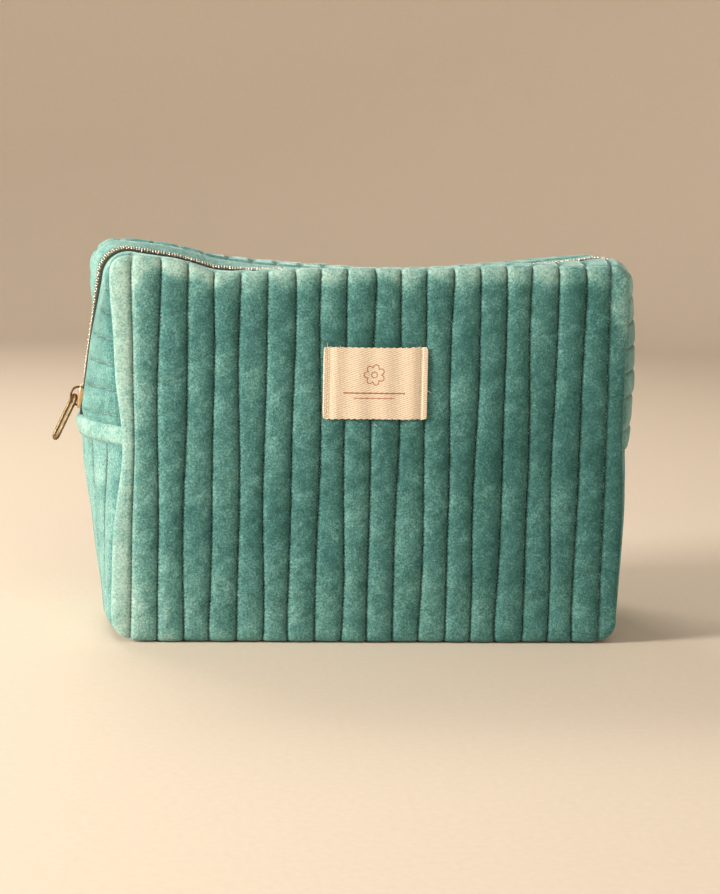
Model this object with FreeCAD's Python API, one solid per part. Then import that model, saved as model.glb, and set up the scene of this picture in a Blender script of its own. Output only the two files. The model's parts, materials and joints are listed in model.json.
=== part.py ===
"""Quilted velvet makeup bag: a soft box with a two-way opening mouth and a metal zipper.

Frame: the origin is the centre of the face the bag stands on, +Z is up, +X is
the long way of the bag and the front panel faces -Y.  Units are millimetres.
The zipper climbs the -X side from half height, crosses the top and comes down
the +X side.  It is closed here, with the slider at its -X end.
"""
import FreeCAD, Part

import math
import os

Vector = FreeCAD.Vector

# ---- driving dimensions -------------------------------------------------
HALF_WIDTH = 122.0          # half width at the front and back edges
HALF_DEPTH = 56.0           # front and back faces lie at -Y and +Y of this
HEM_HEIGHT = 102.0          # where the gusset ends and the zipper begins
CORNER_HEIGHT = 184.5       # top corners at the front and back edges, before rounding
CORNER_RISE = 3.0           # the top corners stand this much higher at mid depth
MIDDLE_HEIGHT = 175.0       # lowest point of the sagging top, before rounding
MIDDLE_DROP = 5.0           # it hangs this much lower at mid depth
BOTTOM_BULGE = 4.0          # how far the sides bulge at mid depth: at the floor,
HEM_BULGE = 19.0            # at the hem,
TOP_BULGE = 8.0             # and at the top corners
EDGE_RADIUS = 13.0          # rounding of the top corners at the front and back edges
MIDDLE_RADIUS = 23.0        # and at mid depth
BOTTOM_RADIUS = 14.0
SAG_SHARE = 0.9             # share of the free top run that the sagging arc takes

VELVET = 1.0                # layer thicknesses
WADDING = 3.4
LINING = 0.6
WALL = VELVET + WADDING + LINING
PANEL_BACK = HALF_DEPTH - WALL      # inner face of the front and back panels

MOUTH_OPENING = 18.0        # degrees that each half of the mouth folds outward
FOLD_ROOM = 1.0             # degrees of room kept at the fold
FOLD_GAP = 0.4              # and the gap there

CHANNEL = 12.45             # spacing of the quilting lines
PANEL_LINES = 19
THREAD_WIDTH = 0.5
THREAD_HEIGHT = 0.25

TOOTH_PITCH = 3.7           # along one side of the chain
TOOTH_LENGTH = 1.6
TOOTH_REACH = 0.6           # how far a tooth crosses the middle of the chain
CHAIN_HALF_WIDTH = 2.3
CHAIN_TOP = 1.5             # depth of the chain's faces below the velvet's surface
CHAIN_BOTTOM = 3.5
TAPE_TOP = 2.2
TAPE_BOTTOM = 2.8
TAPE_EDGE = 12.3
STRIP_EDGE = 5.2            # folded edge of the zip strips, from the middle
CHAIN_START = 6.0           # first tooth, along the chain from the hem
STOP_START = 0.3
STOP_LENGTH = 2.0
STOP_INNER = 0.5

HEM_LEAF = 1.0
HEM_DEPTH = 9.0
HEM_CAP = 2.0
HEM_ROOM = 1.0              # room between the hem and the pieces above and below it

BINDING_DEPTH = 6.5         # the bound seam allowances inside
BINDING_THICKNESS = 1.6
BINDING_ROOM = 1.5          # room between the binding and the lining that it stands on
CLEAR = 0.1                 # small gap between neighbouring layers
FLOOR_TRIM = 0.05           # shaved off under the gusset so that it stands on a true plane

LABEL_WIDTH = 49.0
LABEL_HEIGHT = 34.0
LABEL_CENTRE = (1.3, 125.0)
LABEL_THICKNESS = 0.6
LABEL_STITCH_INSET = 1.8

SLIDER_START = 3.2          # lower end of the slider's body above the hem
SLIDER_LENGTH = 12.0
SLIDER_HALF_WIDTH = 4.1
SLIDER_PLATE = 1.1
SLIDER_TOP = 0.4            # outer face of the slider above the velvet's surface
SLIDER_FLANGE = 1.0
SLIDER_POST = 1.6
BAIL_LENGTH = 10.0
BAIL_HEIGHT = 4.2
BAIL_WIRE = 1.3
BAIL_WIDTH = 1.6
PULL_LENGTH = 25.0
PULL_WIDTH = 5.6
PULL_THICKNESS = 1.8
PULL_SLOT = 2.6
PULL_WALL = 1.5             # metal left round the slot at the ends
PULL_ANGLE = 25.0           # the pull hangs this far out from straight down

SECTIONS = 7                # cross-sections that shape each gusset layer
ZIP_SECTIONS = 4            # and each zip strip layer

os.makedirs("parts", exist_ok=True)


# ---- outlines -----------------------------------------------------------
def bulge(y):
    """Share of the full side bulge at depth y: none at the edges, all at mid depth."""
    return 1.0 - (y / HALF_DEPTH) ** 2


def half_width(y, extra):
    return HALF_WIDTH + extra * bulge(y)


def top_radius(y):
    return EDGE_RADIUS + (MIDDLE_RADIUS - EDGE_RADIUS) * bulge(y)


def upper_points(y):
    """Corner points of the zipper's path at depth y, from the -X hem over the top."""
    hem = half_width(y, HEM_BULGE)
    corner = half_width(y, TOP_BULGE)
    corner_z = CORNER_HEIGHT + CORNER_RISE * bulge(y)
    middle_z = MIDDLE_HEIGHT - MIDDLE_DROP * bulge(y)
    return [(-hem, HEM_HEIGHT), (-corner, corner_z), (0.0, middle_z), (corner, corner_z), (hem, HEM_HEIGHT)]


def lower_points(y, top=HEM_HEIGHT):
    """Corner points of the gusset's path at depth y, from the +X side under the bag."""
    foot = half_width(y, BOTTOM_BULGE)
    hem = half_width(y, HEM_BULGE)
    end = foot + (hem - foot) * top / HEM_HEIGHT
    return [(end, top), (foot, 0.0), (-foot, 0.0), (-end, top)]


def panel_points():
    """Corner points of the front and back panels, clockwise from the -X foot."""
    side = HALF_WIDTH
    return [(-side, 0.0), (-side, CORNER_HEIGHT), (0.0, MIDDLE_HEIGHT), (side, CORNER_HEIGHT), (side, 0.0)]


def unit(start, end):
    length = math.hypot(end[0] - start[0], end[1] - start[1])
    return ((end[0] - start[0]) / length, (end[1] - start[1]) / length)


def shifted_corner(before, corner, after, inset):
    """The corner of two runs that are each shifted to their right by the inset."""
    u, v = unit(before, corner), unit(corner, after)
    cosine = u[0] * v[0] + u[1] * v[1]
    normal = (u[1] + v[1], -u[0] - v[0])
    return (corner[0] + normal[0] * inset / (1.0 + cosine), corner[1] + normal[1] * inset / (1.0 + cosine))


def inset_points(points, inset, closed=False):
    """The same clockwise outline, moved inward by the inset."""
    count = len(points)
    moved = []
    for index, point in enumerate(points):
        before, after = points[index - 1], points[(index + 1) % count]
        if not closed and index == 0:
            u = unit(point, after)
            moved.append((point[0] + u[1] * inset, point[1] - u[0] * inset))
        elif not closed and index == count - 1:
            u = unit(before, point)
            moved.append((point[0] + u[1] * inset, point[1] - u[0] * inset))
        else:
            moved.append(shifted_corner(before, point, after, inset))
    return moved


def sag_radius(points, corner_radius):
    """Radius of the arc that rounds the sagging middle of the top, at no inset."""
    corner, centre = points[1], points[2]
    run = math.hypot(centre[0] - corner[0], centre[1] - corner[1])
    slope = math.atan2(corner[1] - centre[1], centre[0] - corner[0])
    return SAG_SHARE * (run - corner_radius) / math.tan(slope)


def path_edges(points, radii, y, closed=False):
    """Straight edges with a tangent arc at every corner that has a radius."""
    count = len(points)
    joints = []
    for index, point in enumerate(points):
        if radii[index] == 0.0:
            joints.append((point, None, point))
            continue
        before, after = points[index - 1], points[(index + 1) % count]
        u, v = unit(before, point), unit(point, after)
        turn = math.acos(max(-1.0, min(1.0, u[0] * v[0] + u[1] * v[1])))
        reach = radii[index] * math.tan(turn / 2.0)
        rise = radii[index] / math.cos(turn / 2.0) - radii[index]
        inward = unit(u, v)
        start = (point[0] - u[0] * reach, point[1] - u[1] * reach)
        middle = (point[0] + inward[0] * rise, point[1] + inward[1] * rise)
        end = (point[0] + v[0] * reach, point[1] + v[1] * reach)
        joints.append((start, middle, end))
    edges = []
    for index, (start, middle, end) in enumerate(joints):
        if middle is not None:
            edges.append(Part.Arc(at(start, y), at(middle, y), at(end, y)).toShape())
        if index + 1 < count or closed:
            edges.append(line(end, joints[(index + 1) % count][0], y))
    return edges


def at(point, y):
    return Vector(point[0], y, point[1])


def line(start, end, y):
    return Part.LineSegment(at(start, y), at(end, y)).toShape()


# ---- layers that wrap round the bag ------------------------------------
def band_wire(points, radii, outer, inner, y):
    """Closed section of a layer between two insets of an open path."""
    outside = inset_points(points, outer)
    inside = inset_points(points, inner)
    turn = [1.0 if radius > MIDDLE_RADIUS else -1.0 for radius in radii]
    outer_radii = [r + side * outer if r else 0.0 for r, side in zip(radii, turn)]
    inner_radii = [r + side * inner if r else 0.0 for r, side in zip(radii, turn)]
    edges = path_edges(outside, outer_radii, y)
    edges.append(line(outside[-1], inside[-1], y))
    edges += path_edges(inside[::-1], inner_radii[::-1], y)
    edges.append(line(inside[0], outside[0], y))
    return Part.Wire(edges)


def spread(start, end, count):
    return [start + (end - start) * index / (count - 1) for index in range(count)]


def band(points_at, radii_at, outer, inner, depths):
    """Solid layer lofted through its sections at the given depths."""
    wires = []
    for y in depths:
        wires.append(band_wire(points_at(y), radii_at(y), outer, inner, y))
    return Part.makeLoft(wires, True, True)


def upper_radii(y):
    corner = top_radius(y)
    return [0.0, corner, sag_radius(upper_points(y), corner), corner, 0.0]


def lower_radii(y):
    return [0.0, BOTTOM_RADIUS, BOTTOM_RADIUS, 0.0]


def upper_band(outer, inner, depths):
    return band(upper_points, upper_radii, outer, inner, depths)


def lower_band(outer, inner, depths, top=HEM_HEIGHT):
    return band(lambda y: lower_points(y, top), lower_radii, outer, inner, depths)


def gusset_layer(outer, inner):
    return lower_band(outer, inner, spread(-PANEL_BACK, PANEL_BACK, SECTIONS), HEM_HEIGHT - HEM_CAP - 2.0 * HEM_ROOM)


def strip_layer(side, outer, inner):
    """Layer of the front (side -1) or back (side 1) zip strip, from its folded edge to its seam."""
    return upper_band(outer, inner, sorted(spread(side * STRIP_EDGE, side * PANEL_BACK, ZIP_SECTIONS)))


def beside_tape():
    """Block that holds the zipper's two tapes, which the wadding stops short of."""
    reach = 2.0 * HALF_WIDTH
    edge = TAPE_EDGE + CLEAR
    return box((-reach, -edge, -reach), (reach, edge, reach))


# ---- flat panels ---------------------------------------------------------
def panel_face_wire(inset, y):
    points = inset_points(panel_points(), inset, closed=True)
    sag = sag_radius(panel_points(), EDGE_RADIUS)
    foot = BOTTOM_RADIUS - inset
    corner = EDGE_RADIUS - inset
    return Part.Wire(path_edges(points, [foot, corner, sag + inset, corner, foot], y, closed=True))


def panel_layer(side, inset, outer, inner):
    """Flat layer of a panel between two depths below its outer face."""
    y = side * (HALF_DEPTH - outer)
    face = Part.Face(panel_face_wire(inset, y))
    return face.extrude(Vector(0.0, side * (outer - inner), 0.0))


def box(low, high):
    size = [b - a for a, b in zip(low, high)]
    return Part.makeBox(size[0], size[1], size[2], Vector(*low))


def below(height):
    """Block that holds everything under a height."""
    reach = 2.0 * HALF_WIDTH
    return box((-reach, -reach, -reach), (reach, reach, height))


def under_fold(side):
    """Block under the sloping plane where a half of the mouth parts from the base."""
    reach = 2.0 * HALF_WIDTH
    rise = reach * math.tan(math.radians(MOUTH_OPENING + FOLD_ROOM))
    base = HEM_HEIGHT + FOLD_GAP
    corners = [(0.0, base), (side * reach, base + rise), (side * reach, -reach), (0.0, -reach)]
    points = [Vector(-reach, y, z) for y, z in corners]
    face = Part.Face(Part.makePolygon(points + points[:1]))
    return face.extrude(Vector(2.0 * reach, 0.0, 0.0))


def binding(side):
    """Bound seam allowance that stands inward along a panel's whole seam."""
    y = side * (PANEL_BACK - CLEAR)
    outer = Part.Face(panel_face_wire(WALL + BINDING_ROOM, y))
    inner = Part.Face(panel_face_wire(WALL + BINDING_ROOM + BINDING_DEPTH, y))
    return outer.cut(inner).extrude(Vector(0.0, -side * BINDING_THICKNESS, 0.0))


def panel_top(x):
    """Height of the panel's straight top edge above x, before its rounding."""
    return MIDDLE_HEIGHT + (CORNER_HEIGHT - MIDDLE_HEIGHT) * abs(x) / HALF_WIDTH


def quilting(side):
    """Upright rows of stitching thread on a panel's face."""
    threads = []
    face = side * HALF_DEPTH
    near, far = sorted((face, face + side * THREAD_HEIGHT))
    for index in range(PANEL_LINES):
        x = (index - (PANEL_LINES - 1) / 2.0) * CHANNEL
        margin = BOTTOM_RADIUS / 2.0
        low = (x - THREAD_WIDTH / 2.0, near, margin)
        high = (x + THREAD_WIDTH / 2.0, far, panel_top(x) - margin)
        threads.append(box(low, high))
    return Part.makeCompound(threads)


# ---- hem over the end of the gusset --------------------------------------
def hem(side):
    """Folded binding over the gusset's upper edge, where the zipper's end is sewn in."""
    wires = []
    for y in spread(-PANEL_BACK, PANEL_BACK, SECTIONS):
        foot = half_width(y, BOTTOM_BULGE)
        slope = (half_width(y, HEM_BULGE) - foot) / HEM_HEIGHT
        top = HEM_HEIGHT - HEM_ROOM
        shoulder = top - HEM_CAP
        low = top - HEM_DEPTH
        profile = [(-HEM_LEAF, low), (-HEM_LEAF, top), (WALL + HEM_LEAF, top), (WALL + HEM_LEAF, low),
                   (WALL + CLEAR, low), (WALL + CLEAR, shoulder), (-CLEAR, shoulder), (-CLEAR, low)]
        points = [Vector(side * (foot + slope * z - inset), y, z) for inset, z in profile]
        wires.append(Part.makePolygon(points + points[:1]))
    return Part.makeLoft(wires, True, True)


# ---- zipper ---------------------------------------------------------------
def chain_wire():
    """Path of the chain's middle, half-way through its thickness, at mid depth."""
    middle = (CHAIN_TOP + CHAIN_BOTTOM) / 2.0
    points = upper_points(0.0)
    radii = upper_radii(0.0)
    radii = [0.0, radii[1] - middle, radii[2] + middle, radii[3] - middle, 0.0]
    return Part.Wire(path_edges(inset_points(points, middle), radii, 0.0))


def teeth(side):
    """One side's teeth; the two sides alternate along the chain."""
    wire = chain_wire()
    offset = 0.0 if side < 0 else TOOTH_PITCH / 2.0
    count = int((wire.Length - 2.0 * CHAIN_START) / TOOTH_PITCH)
    near, far = sorted((-side * TOOTH_REACH, side * CHAIN_HALF_WIDTH))
    thickness = CHAIN_BOTTOM - CHAIN_TOP
    blank = box((-TOOTH_LENGTH / 2.0, near, -thickness / 2.0), (TOOTH_LENGTH / 2.0, far, thickness / 2.0))
    placed = []
    for edge, start in zip(wire.Edges, running_starts(wire)):
        for index in range(count):
            station = CHAIN_START + offset + index * TOOTH_PITCH
            if start <= station < start + edge.Length:
                parameter = edge.getParameterByLength(station - start)
                placed.append(along_edge(blank, edge, parameter))
    return Part.makeCompound(placed)


def running_starts(wire):
    starts, total = [], 0.0
    for edge in wire.Edges:
        starts.append(total)
        total += edge.Length
    return starts


def along_edge(blank, edge, parameter):
    """The blank turned so that its X axis follows the edge."""
    tangent = edge.tangentAt(parameter)
    angle = math.degrees(math.atan2(-tangent.z, tangent.x))
    turned = blank.copy()
    turned.Placement = FreeCAD.Placement(edge.valueAt(parameter), FreeCAD.Rotation(Vector(0, 1, 0), angle))
    return turned


def tape(side):
    return upper_band(TAPE_TOP, TAPE_BOTTOM, sorted((side * (CHAIN_HALF_WIDTH + CLEAR), side * TAPE_EDGE)))


def run_frame(side):
    """Placement on the straight run of the zipper: X up the run, Y as the bag's, Z outward."""
    points = upper_points(0.0)
    start = points[0] if side < 0 else points[-1]
    corner = points[1] if side < 0 else points[-2]
    up = unit(start, corner)
    x_axis = Vector(up[0], 0.0, up[1])
    z_axis = Vector(side * abs(up[1]), 0.0, -side * up[0])
    y_axis = z_axis.cross(x_axis)
    matrix = FreeCAD.Matrix(x_axis.x, y_axis.x, z_axis.x, start[0],
                            x_axis.y, y_axis.y, z_axis.y, 0.0,
                            x_axis.z, y_axis.z, z_axis.z, start[1],
                            0.0, 0.0, 0.0, 1.0)
    return FreeCAD.Placement(matrix)


def on_run(shape, side=-1):
    placed = shape.copy()
    placed.Placement = run_frame(side).multiply(placed.Placement)
    return placed


def top_stops():
    """A stop crimped on each tape at the end where the slider parks."""
    stops = []
    for near, far in ((STOP_INNER, CHAIN_HALF_WIDTH), (-CHAIN_HALF_WIDTH, -STOP_INNER)):
        stops.append(box((STOP_START, near, -CHAIN_BOTTOM), (STOP_START + STOP_LENGTH, far, -CHAIN_TOP)))
    return on_run(Part.makeCompound(stops), -1)


def bottom_stop():
    """One stop across both tapes at the far end of the zipper."""
    low = (STOP_START, -CHAIN_HALF_WIDTH, -CHAIN_BOTTOM)
    high = (STOP_START + 2.0 * STOP_LENGTH, CHAIN_HALF_WIDTH, -CHAIN_TOP)
    return on_run(box(low, high), 1)


def slider_body():
    """Two plates joined by a post, with flanges that leave a slot for the tapes."""
    start, end = SLIDER_START, SLIDER_START + SLIDER_LENGTH
    half = SLIDER_HALF_WIDTH
    inner_top = SLIDER_TOP - SLIDER_PLATE
    inner_bottom = -CHAIN_BOTTOM - 2.0 * CLEAR
    bottom = inner_bottom - SLIDER_PLATE
    body = box((start, -half, inner_top), (end, half, SLIDER_TOP))
    body = body.fuse(box((start, -half, bottom), (end, half, inner_bottom)))
    body = body.fuse(box((start, -SLIDER_POST / 2.0, bottom), (start + SLIDER_POST, SLIDER_POST / 2.0, SLIDER_TOP)))
    for side in (-1.0, 1.0):
        near, far = sorted((side * (half - SLIDER_FLANGE), side * half))
        body = body.fuse(box((start, near, -TAPE_TOP + 2.0 * CLEAR), (end, far, SLIDER_TOP)))
        body = body.fuse(box((start, near, bottom), (end, far, -TAPE_BOTTOM - 2.0 * CLEAR)))
    body = body.removeSplitter()
    corners = [edge for edge in body.Edges if upright_corner(edge, half)]
    return on_run(body.makeFillet(SLIDER_FLANGE * 0.8, corners))


def upright_corner(edge, half):
    """True for an edge along the plates' thickness at one of the body's outer corners."""
    first, last = edge.Vertexes[0].Point, edge.Vertexes[-1].Point
    straight = abs(first.x - last.x) < CLEAR and abs(first.y - last.y) < CLEAR
    at_end = min(abs(first.x - SLIDER_START), abs(first.x - SLIDER_START - SLIDER_LENGTH)) < CLEAR
    return straight and at_end and abs(abs(first.y) - half) < CLEAR


def bail_centre():
    return SLIDER_START + SLIDER_LENGTH / 2.0


def slider_bail():
    """Arched crown on the slider's outer plate, which holds the pull."""
    middle = bail_centre()
    half = BAIL_LENGTH / 2.0
    outer = arch(middle, half, BAIL_HEIGHT)
    inner = arch(middle, half - BAIL_WIRE, BAIL_HEIGHT - BAIL_WIRE)
    return on_run(outer.cut(inner))


def arch(middle, half, height):
    """Upright slab with a half-elliptical top, standing on the slider's outer plate."""
    foot = SLIDER_TOP
    centre = Vector(middle, -BAIL_WIDTH / 2.0, foot)
    ellipse = Part.Ellipse(centre + Vector(half, 0, 0), centre + Vector(0, 0, height), centre)
    curve = ellipse.toShape()
    face = Part.Face(Part.Wire(curve)).extrude(Vector(0.0, BAIL_WIDTH, 0.0))
    above = box((middle - 2 * half, -BAIL_WIDTH, foot), (middle + 2 * half, BAIL_WIDTH, foot + 2 * height))
    return face.common(above)


def pull_pivot():
    """Centre of the bail's eye, where the pull's head bar turns."""
    local = Vector(bail_centre(), 0.0, SLIDER_TOP + (BAIL_HEIGHT - BAIL_WIRE) / 2.0)
    return run_frame(-1).multVec(local)


def pull_tab():
    """Long flat pull with rounded ends and one slot that the bail passes through."""
    half = PULL_WIDTH / 2.0
    slab = stadium(half, PULL_LENGTH, PULL_THICKNESS)
    slot = stadium(PULL_SLOT / 2.0, PULL_LENGTH - 2.0 * PULL_WALL, 2.0 * PULL_THICKNESS)
    tab = slab.cut(slot)
    head = (PULL_LENGTH - PULL_WALL) / 2.0
    tab.translate(Vector(0.0, 0.0, -head))
    out = FreeCAD.Rotation(Vector(0, 1, 0), PULL_ANGLE)
    tab.Placement = FreeCAD.Placement(pull_pivot(), out).multiply(tab.Placement)
    return tab


def stadium(half, length, thickness):
    """Upright slab with round ends, centred on the origin."""
    flat = length / 2.0 - half
    low, high = Vector(-thickness / 2.0, -half, -flat), Vector(-thickness / 2.0, half, -flat)
    edges = [
        Part.LineSegment(low, low + Vector(0, 0, 2 * flat)).toShape(),
        Part.Arc(low + Vector(0, 0, 2 * flat), Vector(low.x, 0, flat + half), high + Vector(0, 0, 2 * flat)).toShape(),
        Part.LineSegment(high + Vector(0, 0, 2 * flat), high).toShape(),
        Part.Arc(high, Vector(low.x, 0, -flat - half), low).toShape(),
    ]
    return Part.Face(Part.Wire(edges)).extrude(Vector(thickness, 0.0, 0.0))


# ---- label ------------------------------------------------------------------
def label():
    """Woven twill label sewn flat on the front panel."""
    x, z = LABEL_CENTRE
    outer = -(HALF_DEPTH + THREAD_HEIGHT + CLEAR + LABEL_THICKNESS)
    inner = -(HALF_DEPTH + THREAD_HEIGHT + CLEAR)
    low = (x - LABEL_WIDTH / 2.0, outer, z - LABEL_HEIGHT / 2.0)
    return box(low, (x + LABEL_WIDTH / 2.0, inner, z + LABEL_HEIGHT / 2.0))


def label_stitching():
    """Two upright rows of thread that hold the label at its ends."""
    x, z = LABEL_CENTRE
    face = -(HALF_DEPTH + THREAD_HEIGHT + CLEAR + LABEL_THICKNESS)
    reach = LABEL_WIDTH / 2.0 - LABEL_STITCH_INSET
    rows = []
    for side in (-1.0, 1.0):
        low = (x + side * reach - THREAD_WIDTH / 2.0, face - THREAD_HEIGHT, z - LABEL_HEIGHT / 2.0)
        rows.append(box(low, (low[0] + THREAD_WIDTH, face, z + LABEL_HEIGHT / 2.0)))
    return Part.makeCompound(rows)


# ---- writing ------------------------------------------------------------------
def write(name, shape):
    if not shape.isValid():
        raise RuntimeError(name + " is not a valid shape")
    shape.exportStep("parts/" + name + ".step")
    bounds = shape.BoundBox
    print("%-22s solids %3d  volume %9.1f  x %7.1f %7.1f  y %6.1f %6.1f  z %6.1f %6.1f" % (
        name, len(shape.Solids), shape.Volume, bounds.XMin, bounds.XMax,
        bounds.YMin, bounds.YMax, bounds.ZMin, bounds.ZMax))


def write_half(name, side):
    """Everything that belongs to the front (side -1) or back (side 1) half."""
    wadding = panel_layer(side, VELVET, VELVET, VELVET + WADDING)
    fold = under_fold(side)
    write(name + "_panel", panel_layer(side, 0.0, 0.0, VELVET))
    write(name + "_wadding_lower", wadding.common(below(HEM_HEIGHT - CLEAR)))
    write(name + "_wadding_upper", wadding.cut(fold))
    write(name + "_lining", panel_layer(side, VELVET, VELVET + WADDING, WALL))
    write(name + "_quilting", quilting(side))
    write(name + "_seam_binding", binding(side))
    write(name + "_zip_strip", strip_layer(side, 0.0, VELVET))
    strip_wadding = strip_layer(side, VELVET, VELVET + WADDING)
    write(name + "_zip_strip_wadding", strip_wadding.cut(fold).cut(beside_tape()))
    write(name + "_zip_strip_lining", strip_layer(side, VELVET + WADDING, WALL))
    write(name + "_zipper_tape", tape(side))
    write(name + "_zipper_teeth", teeth(side))


def main():
    write("gusset", gusset_layer(-FLOOR_TRIM, VELVET).cut(below(0.0)))
    write("gusset_wadding", gusset_layer(VELVET, VELVET + WADDING))
    write("gusset_lining", gusset_layer(VELVET + WADDING, WALL))
    write("hem_left", hem(-1.0))
    write("hem_right", hem(1.0))
    write_half("front", -1)
    write_half("back", 1)
    write("zipper_top_stops", top_stops())
    write("zipper_bottom_stop", bottom_stop())
    write("slider_body", slider_body())
    write("slider_bail", slider_bail())
    write("pull_tab", pull_tab())
    write("label", label())
    write("label_stitching", label_stitching())
    pivot = pull_pivot()
    frame = run_frame(-1).Rotation.multVec(Vector(1, 0, 0))
    print("pull pivot  %.2f %.2f %.2f" % (pivot.x, pivot.y, pivot.z))
    print("slide axis  %.4f %.4f %.4f" % (frame.x, frame.y, frame.z))


main()
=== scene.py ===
"""Looks of a quilted velvet makeup bag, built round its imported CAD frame.

Shapes are worked out in millimetres, in the bag's own frame, and written to meshes in
metres.  The bag's surfaces are lofted from its outline, quilted, and then settled by
one shared field of small sags and pinches, so that every seam stays joined.
"""
import json
import math

import bpy
import numpy as np
from mathutils import Matrix, Vector


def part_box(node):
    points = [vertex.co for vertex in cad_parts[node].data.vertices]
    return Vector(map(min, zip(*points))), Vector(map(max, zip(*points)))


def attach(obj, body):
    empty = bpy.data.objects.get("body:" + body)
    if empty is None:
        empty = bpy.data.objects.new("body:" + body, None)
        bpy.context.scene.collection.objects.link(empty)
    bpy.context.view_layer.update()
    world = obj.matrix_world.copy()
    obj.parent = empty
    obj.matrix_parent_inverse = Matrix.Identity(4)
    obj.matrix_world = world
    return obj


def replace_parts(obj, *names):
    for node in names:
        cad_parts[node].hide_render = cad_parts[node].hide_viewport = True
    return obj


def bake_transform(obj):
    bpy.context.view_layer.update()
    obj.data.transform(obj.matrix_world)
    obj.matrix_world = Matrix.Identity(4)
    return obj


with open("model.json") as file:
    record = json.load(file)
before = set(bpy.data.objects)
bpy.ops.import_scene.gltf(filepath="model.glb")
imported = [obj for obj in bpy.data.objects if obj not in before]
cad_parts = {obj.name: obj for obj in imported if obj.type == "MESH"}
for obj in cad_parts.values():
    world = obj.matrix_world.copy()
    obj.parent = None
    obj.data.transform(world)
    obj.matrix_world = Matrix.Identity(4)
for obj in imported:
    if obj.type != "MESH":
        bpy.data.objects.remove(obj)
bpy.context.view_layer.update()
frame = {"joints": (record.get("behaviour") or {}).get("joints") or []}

MM = 0.001


def node_box(name):
    """Lowest and highest corner of a CAD node, in millimetres."""
    low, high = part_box(name)
    return np.array(low) / MM, np.array(high) / MM


# ---- sizes, from the frame --------------------------------------------------
PANEL_LOW, PANEL_HIGH = node_box("front_panel")
HALF_WIDTH = PANEL_HIGH[0]
HALF_DEPTH = -PANEL_LOW[1]
SEAM_DEPTH = node_box("gusset")[1][1]           # depth of the seams round the two panels
LABEL_LOW, LABEL_HIGH = node_box("label")
JOINTS = {joint["name"]: joint for joint in frame["joints"]}
FOLD = np.array(JOINTS["front_mouth_fold"]["pos_m"]) / MM
PIVOT = np.array(JOINTS["pull_swing"]["pos_m"]) / MM
HEM_HEIGHT = FOLD[2]

# ---- sizes of the sewn shapes -----------------------------------------------
CORNER_HEIGHT = 184.5       # top corners at the panels, before rounding
CORNER_RISE = 3.0           # and how much higher they stand at mid depth
MIDDLE_HEIGHT = 175.0       # lowest point of the sagging top, before rounding
MIDDLE_DROP = 5.0
FOOT_BULGE = 4.0            # how far the sides stand out at mid depth: at the floor,
HEM_BULGE = 19.0            # at the hem
CORNER_BULGE = 8.0          # and at the top corners
EDGE_RADIUS = 9.0           # rounding of the top corners at the panels,
MIDDLE_RADIUS = 15.0        # at mid depth
FOOT_RADIUS = 10.0          # and of the corners at the floor
SAG_SHARE = 0.9             # share of the free top run that the sagging arc takes

PLUMP = 1.6                 # the quilting's ridges stand this far out of its base surface
CHANNEL = 12.45             # spacing of the quilting lines
PANEL_LINES = 19
PANEL_HEIGHT = 176.0        # nominal, to space the panels' rows of vertices
GUSSET_CHANNELS = 8
STITCH = 2.0                # length of a stitch
SEAM_INSET = 2.4            # the seams lie this deep
ROLL = 5.0                  # width of the rolled edge of a panel
STRIP_EDGE = 3.6            # folded edges of the zip strips, from the middle
FACING = 13.0               # plain band beside the zipper
WALL = 5.0                  # thickness of the velvet, wadding and lining together
LINING = 0.5                # thickness of the lining
LINING_GAP = 0.4            # and its distance from the wadding
TOP_ZONE = (150.0, 172.0)   # heights over which the settling of the top sets in
GROOVE_SHADE_WIDTH = 0.42         # half width of the painted shade along a row of stitches
SEAM_SHADOW = 0.9           # and along a seam


# ---- numbers and plane curves ---------------------------------------------------
def full_turn(count):
    """Angles evenly spaced round a circle."""
    return np.linspace(0.0, 2.0 * math.pi, count + 1)[:-1]


def squared(value, power):
    """Sines or cosines pushed towards -1 and 1, which makes a circle more square."""
    return np.sign(value) * np.abs(value) ** power


def bell(value, width):
    return np.exp(-(value / width) ** 2)


def unit(vectors):
    """Rows scaled to length 1."""
    return vectors / np.linalg.norm(vectors, axis=-1)[..., None]


def travel(line):
    """Distance travelled along a polyline at each of its points."""
    return np.r_[0.0, np.cumsum(np.linalg.norm(np.diff(line, axis=0), axis=1))]


def sampled(at, steps, values):
    """Each column of the values, read off at the places asked for."""
    return np.stack([np.interp(at, steps, values[:, axis]) for axis in range(values.shape[1])], axis=1)


def rounded(points, radii):
    """Polyline through a closed outline whose corners are rounded, from the first corner."""
    line = []
    count = len(points)
    for index in range(count):
        here = np.array(points[index], float)
        radius = radii[index]
        if radius == 0.0:
            line.append(here)
            continue
        before = here - points[index - 1]
        after = points[(index + 1) % count] - here
        u, v = before / np.linalg.norm(before), after / np.linalg.norm(after)
        turn = math.atan2(u[0] * v[1] - u[1] * v[0], u @ v)
        side = math.copysign(1.0, turn)
        start = here - u * radius * math.tan(abs(turn) / 2.0)
        inward = side * np.array([-u[1], u[0]])
        for angle in np.linspace(0.0, turn, 14):
            c, s = math.cos(angle), math.sin(angle)
            arm = -inward * radius
            swung = np.array([arm[0] * c - arm[1] * s, arm[0] * s + arm[1] * c])
            line.append(start + inward * radius + swung)
    return np.array(line)


def along(line, fractions):
    """Points at fractions of a polyline's length."""
    steps = travel(line)
    return sampled(np.asarray(fractions) * steps[-1], steps, line)


def length(line):
    return np.linalg.norm(np.diff(line, axis=0), axis=1).sum()


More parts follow.
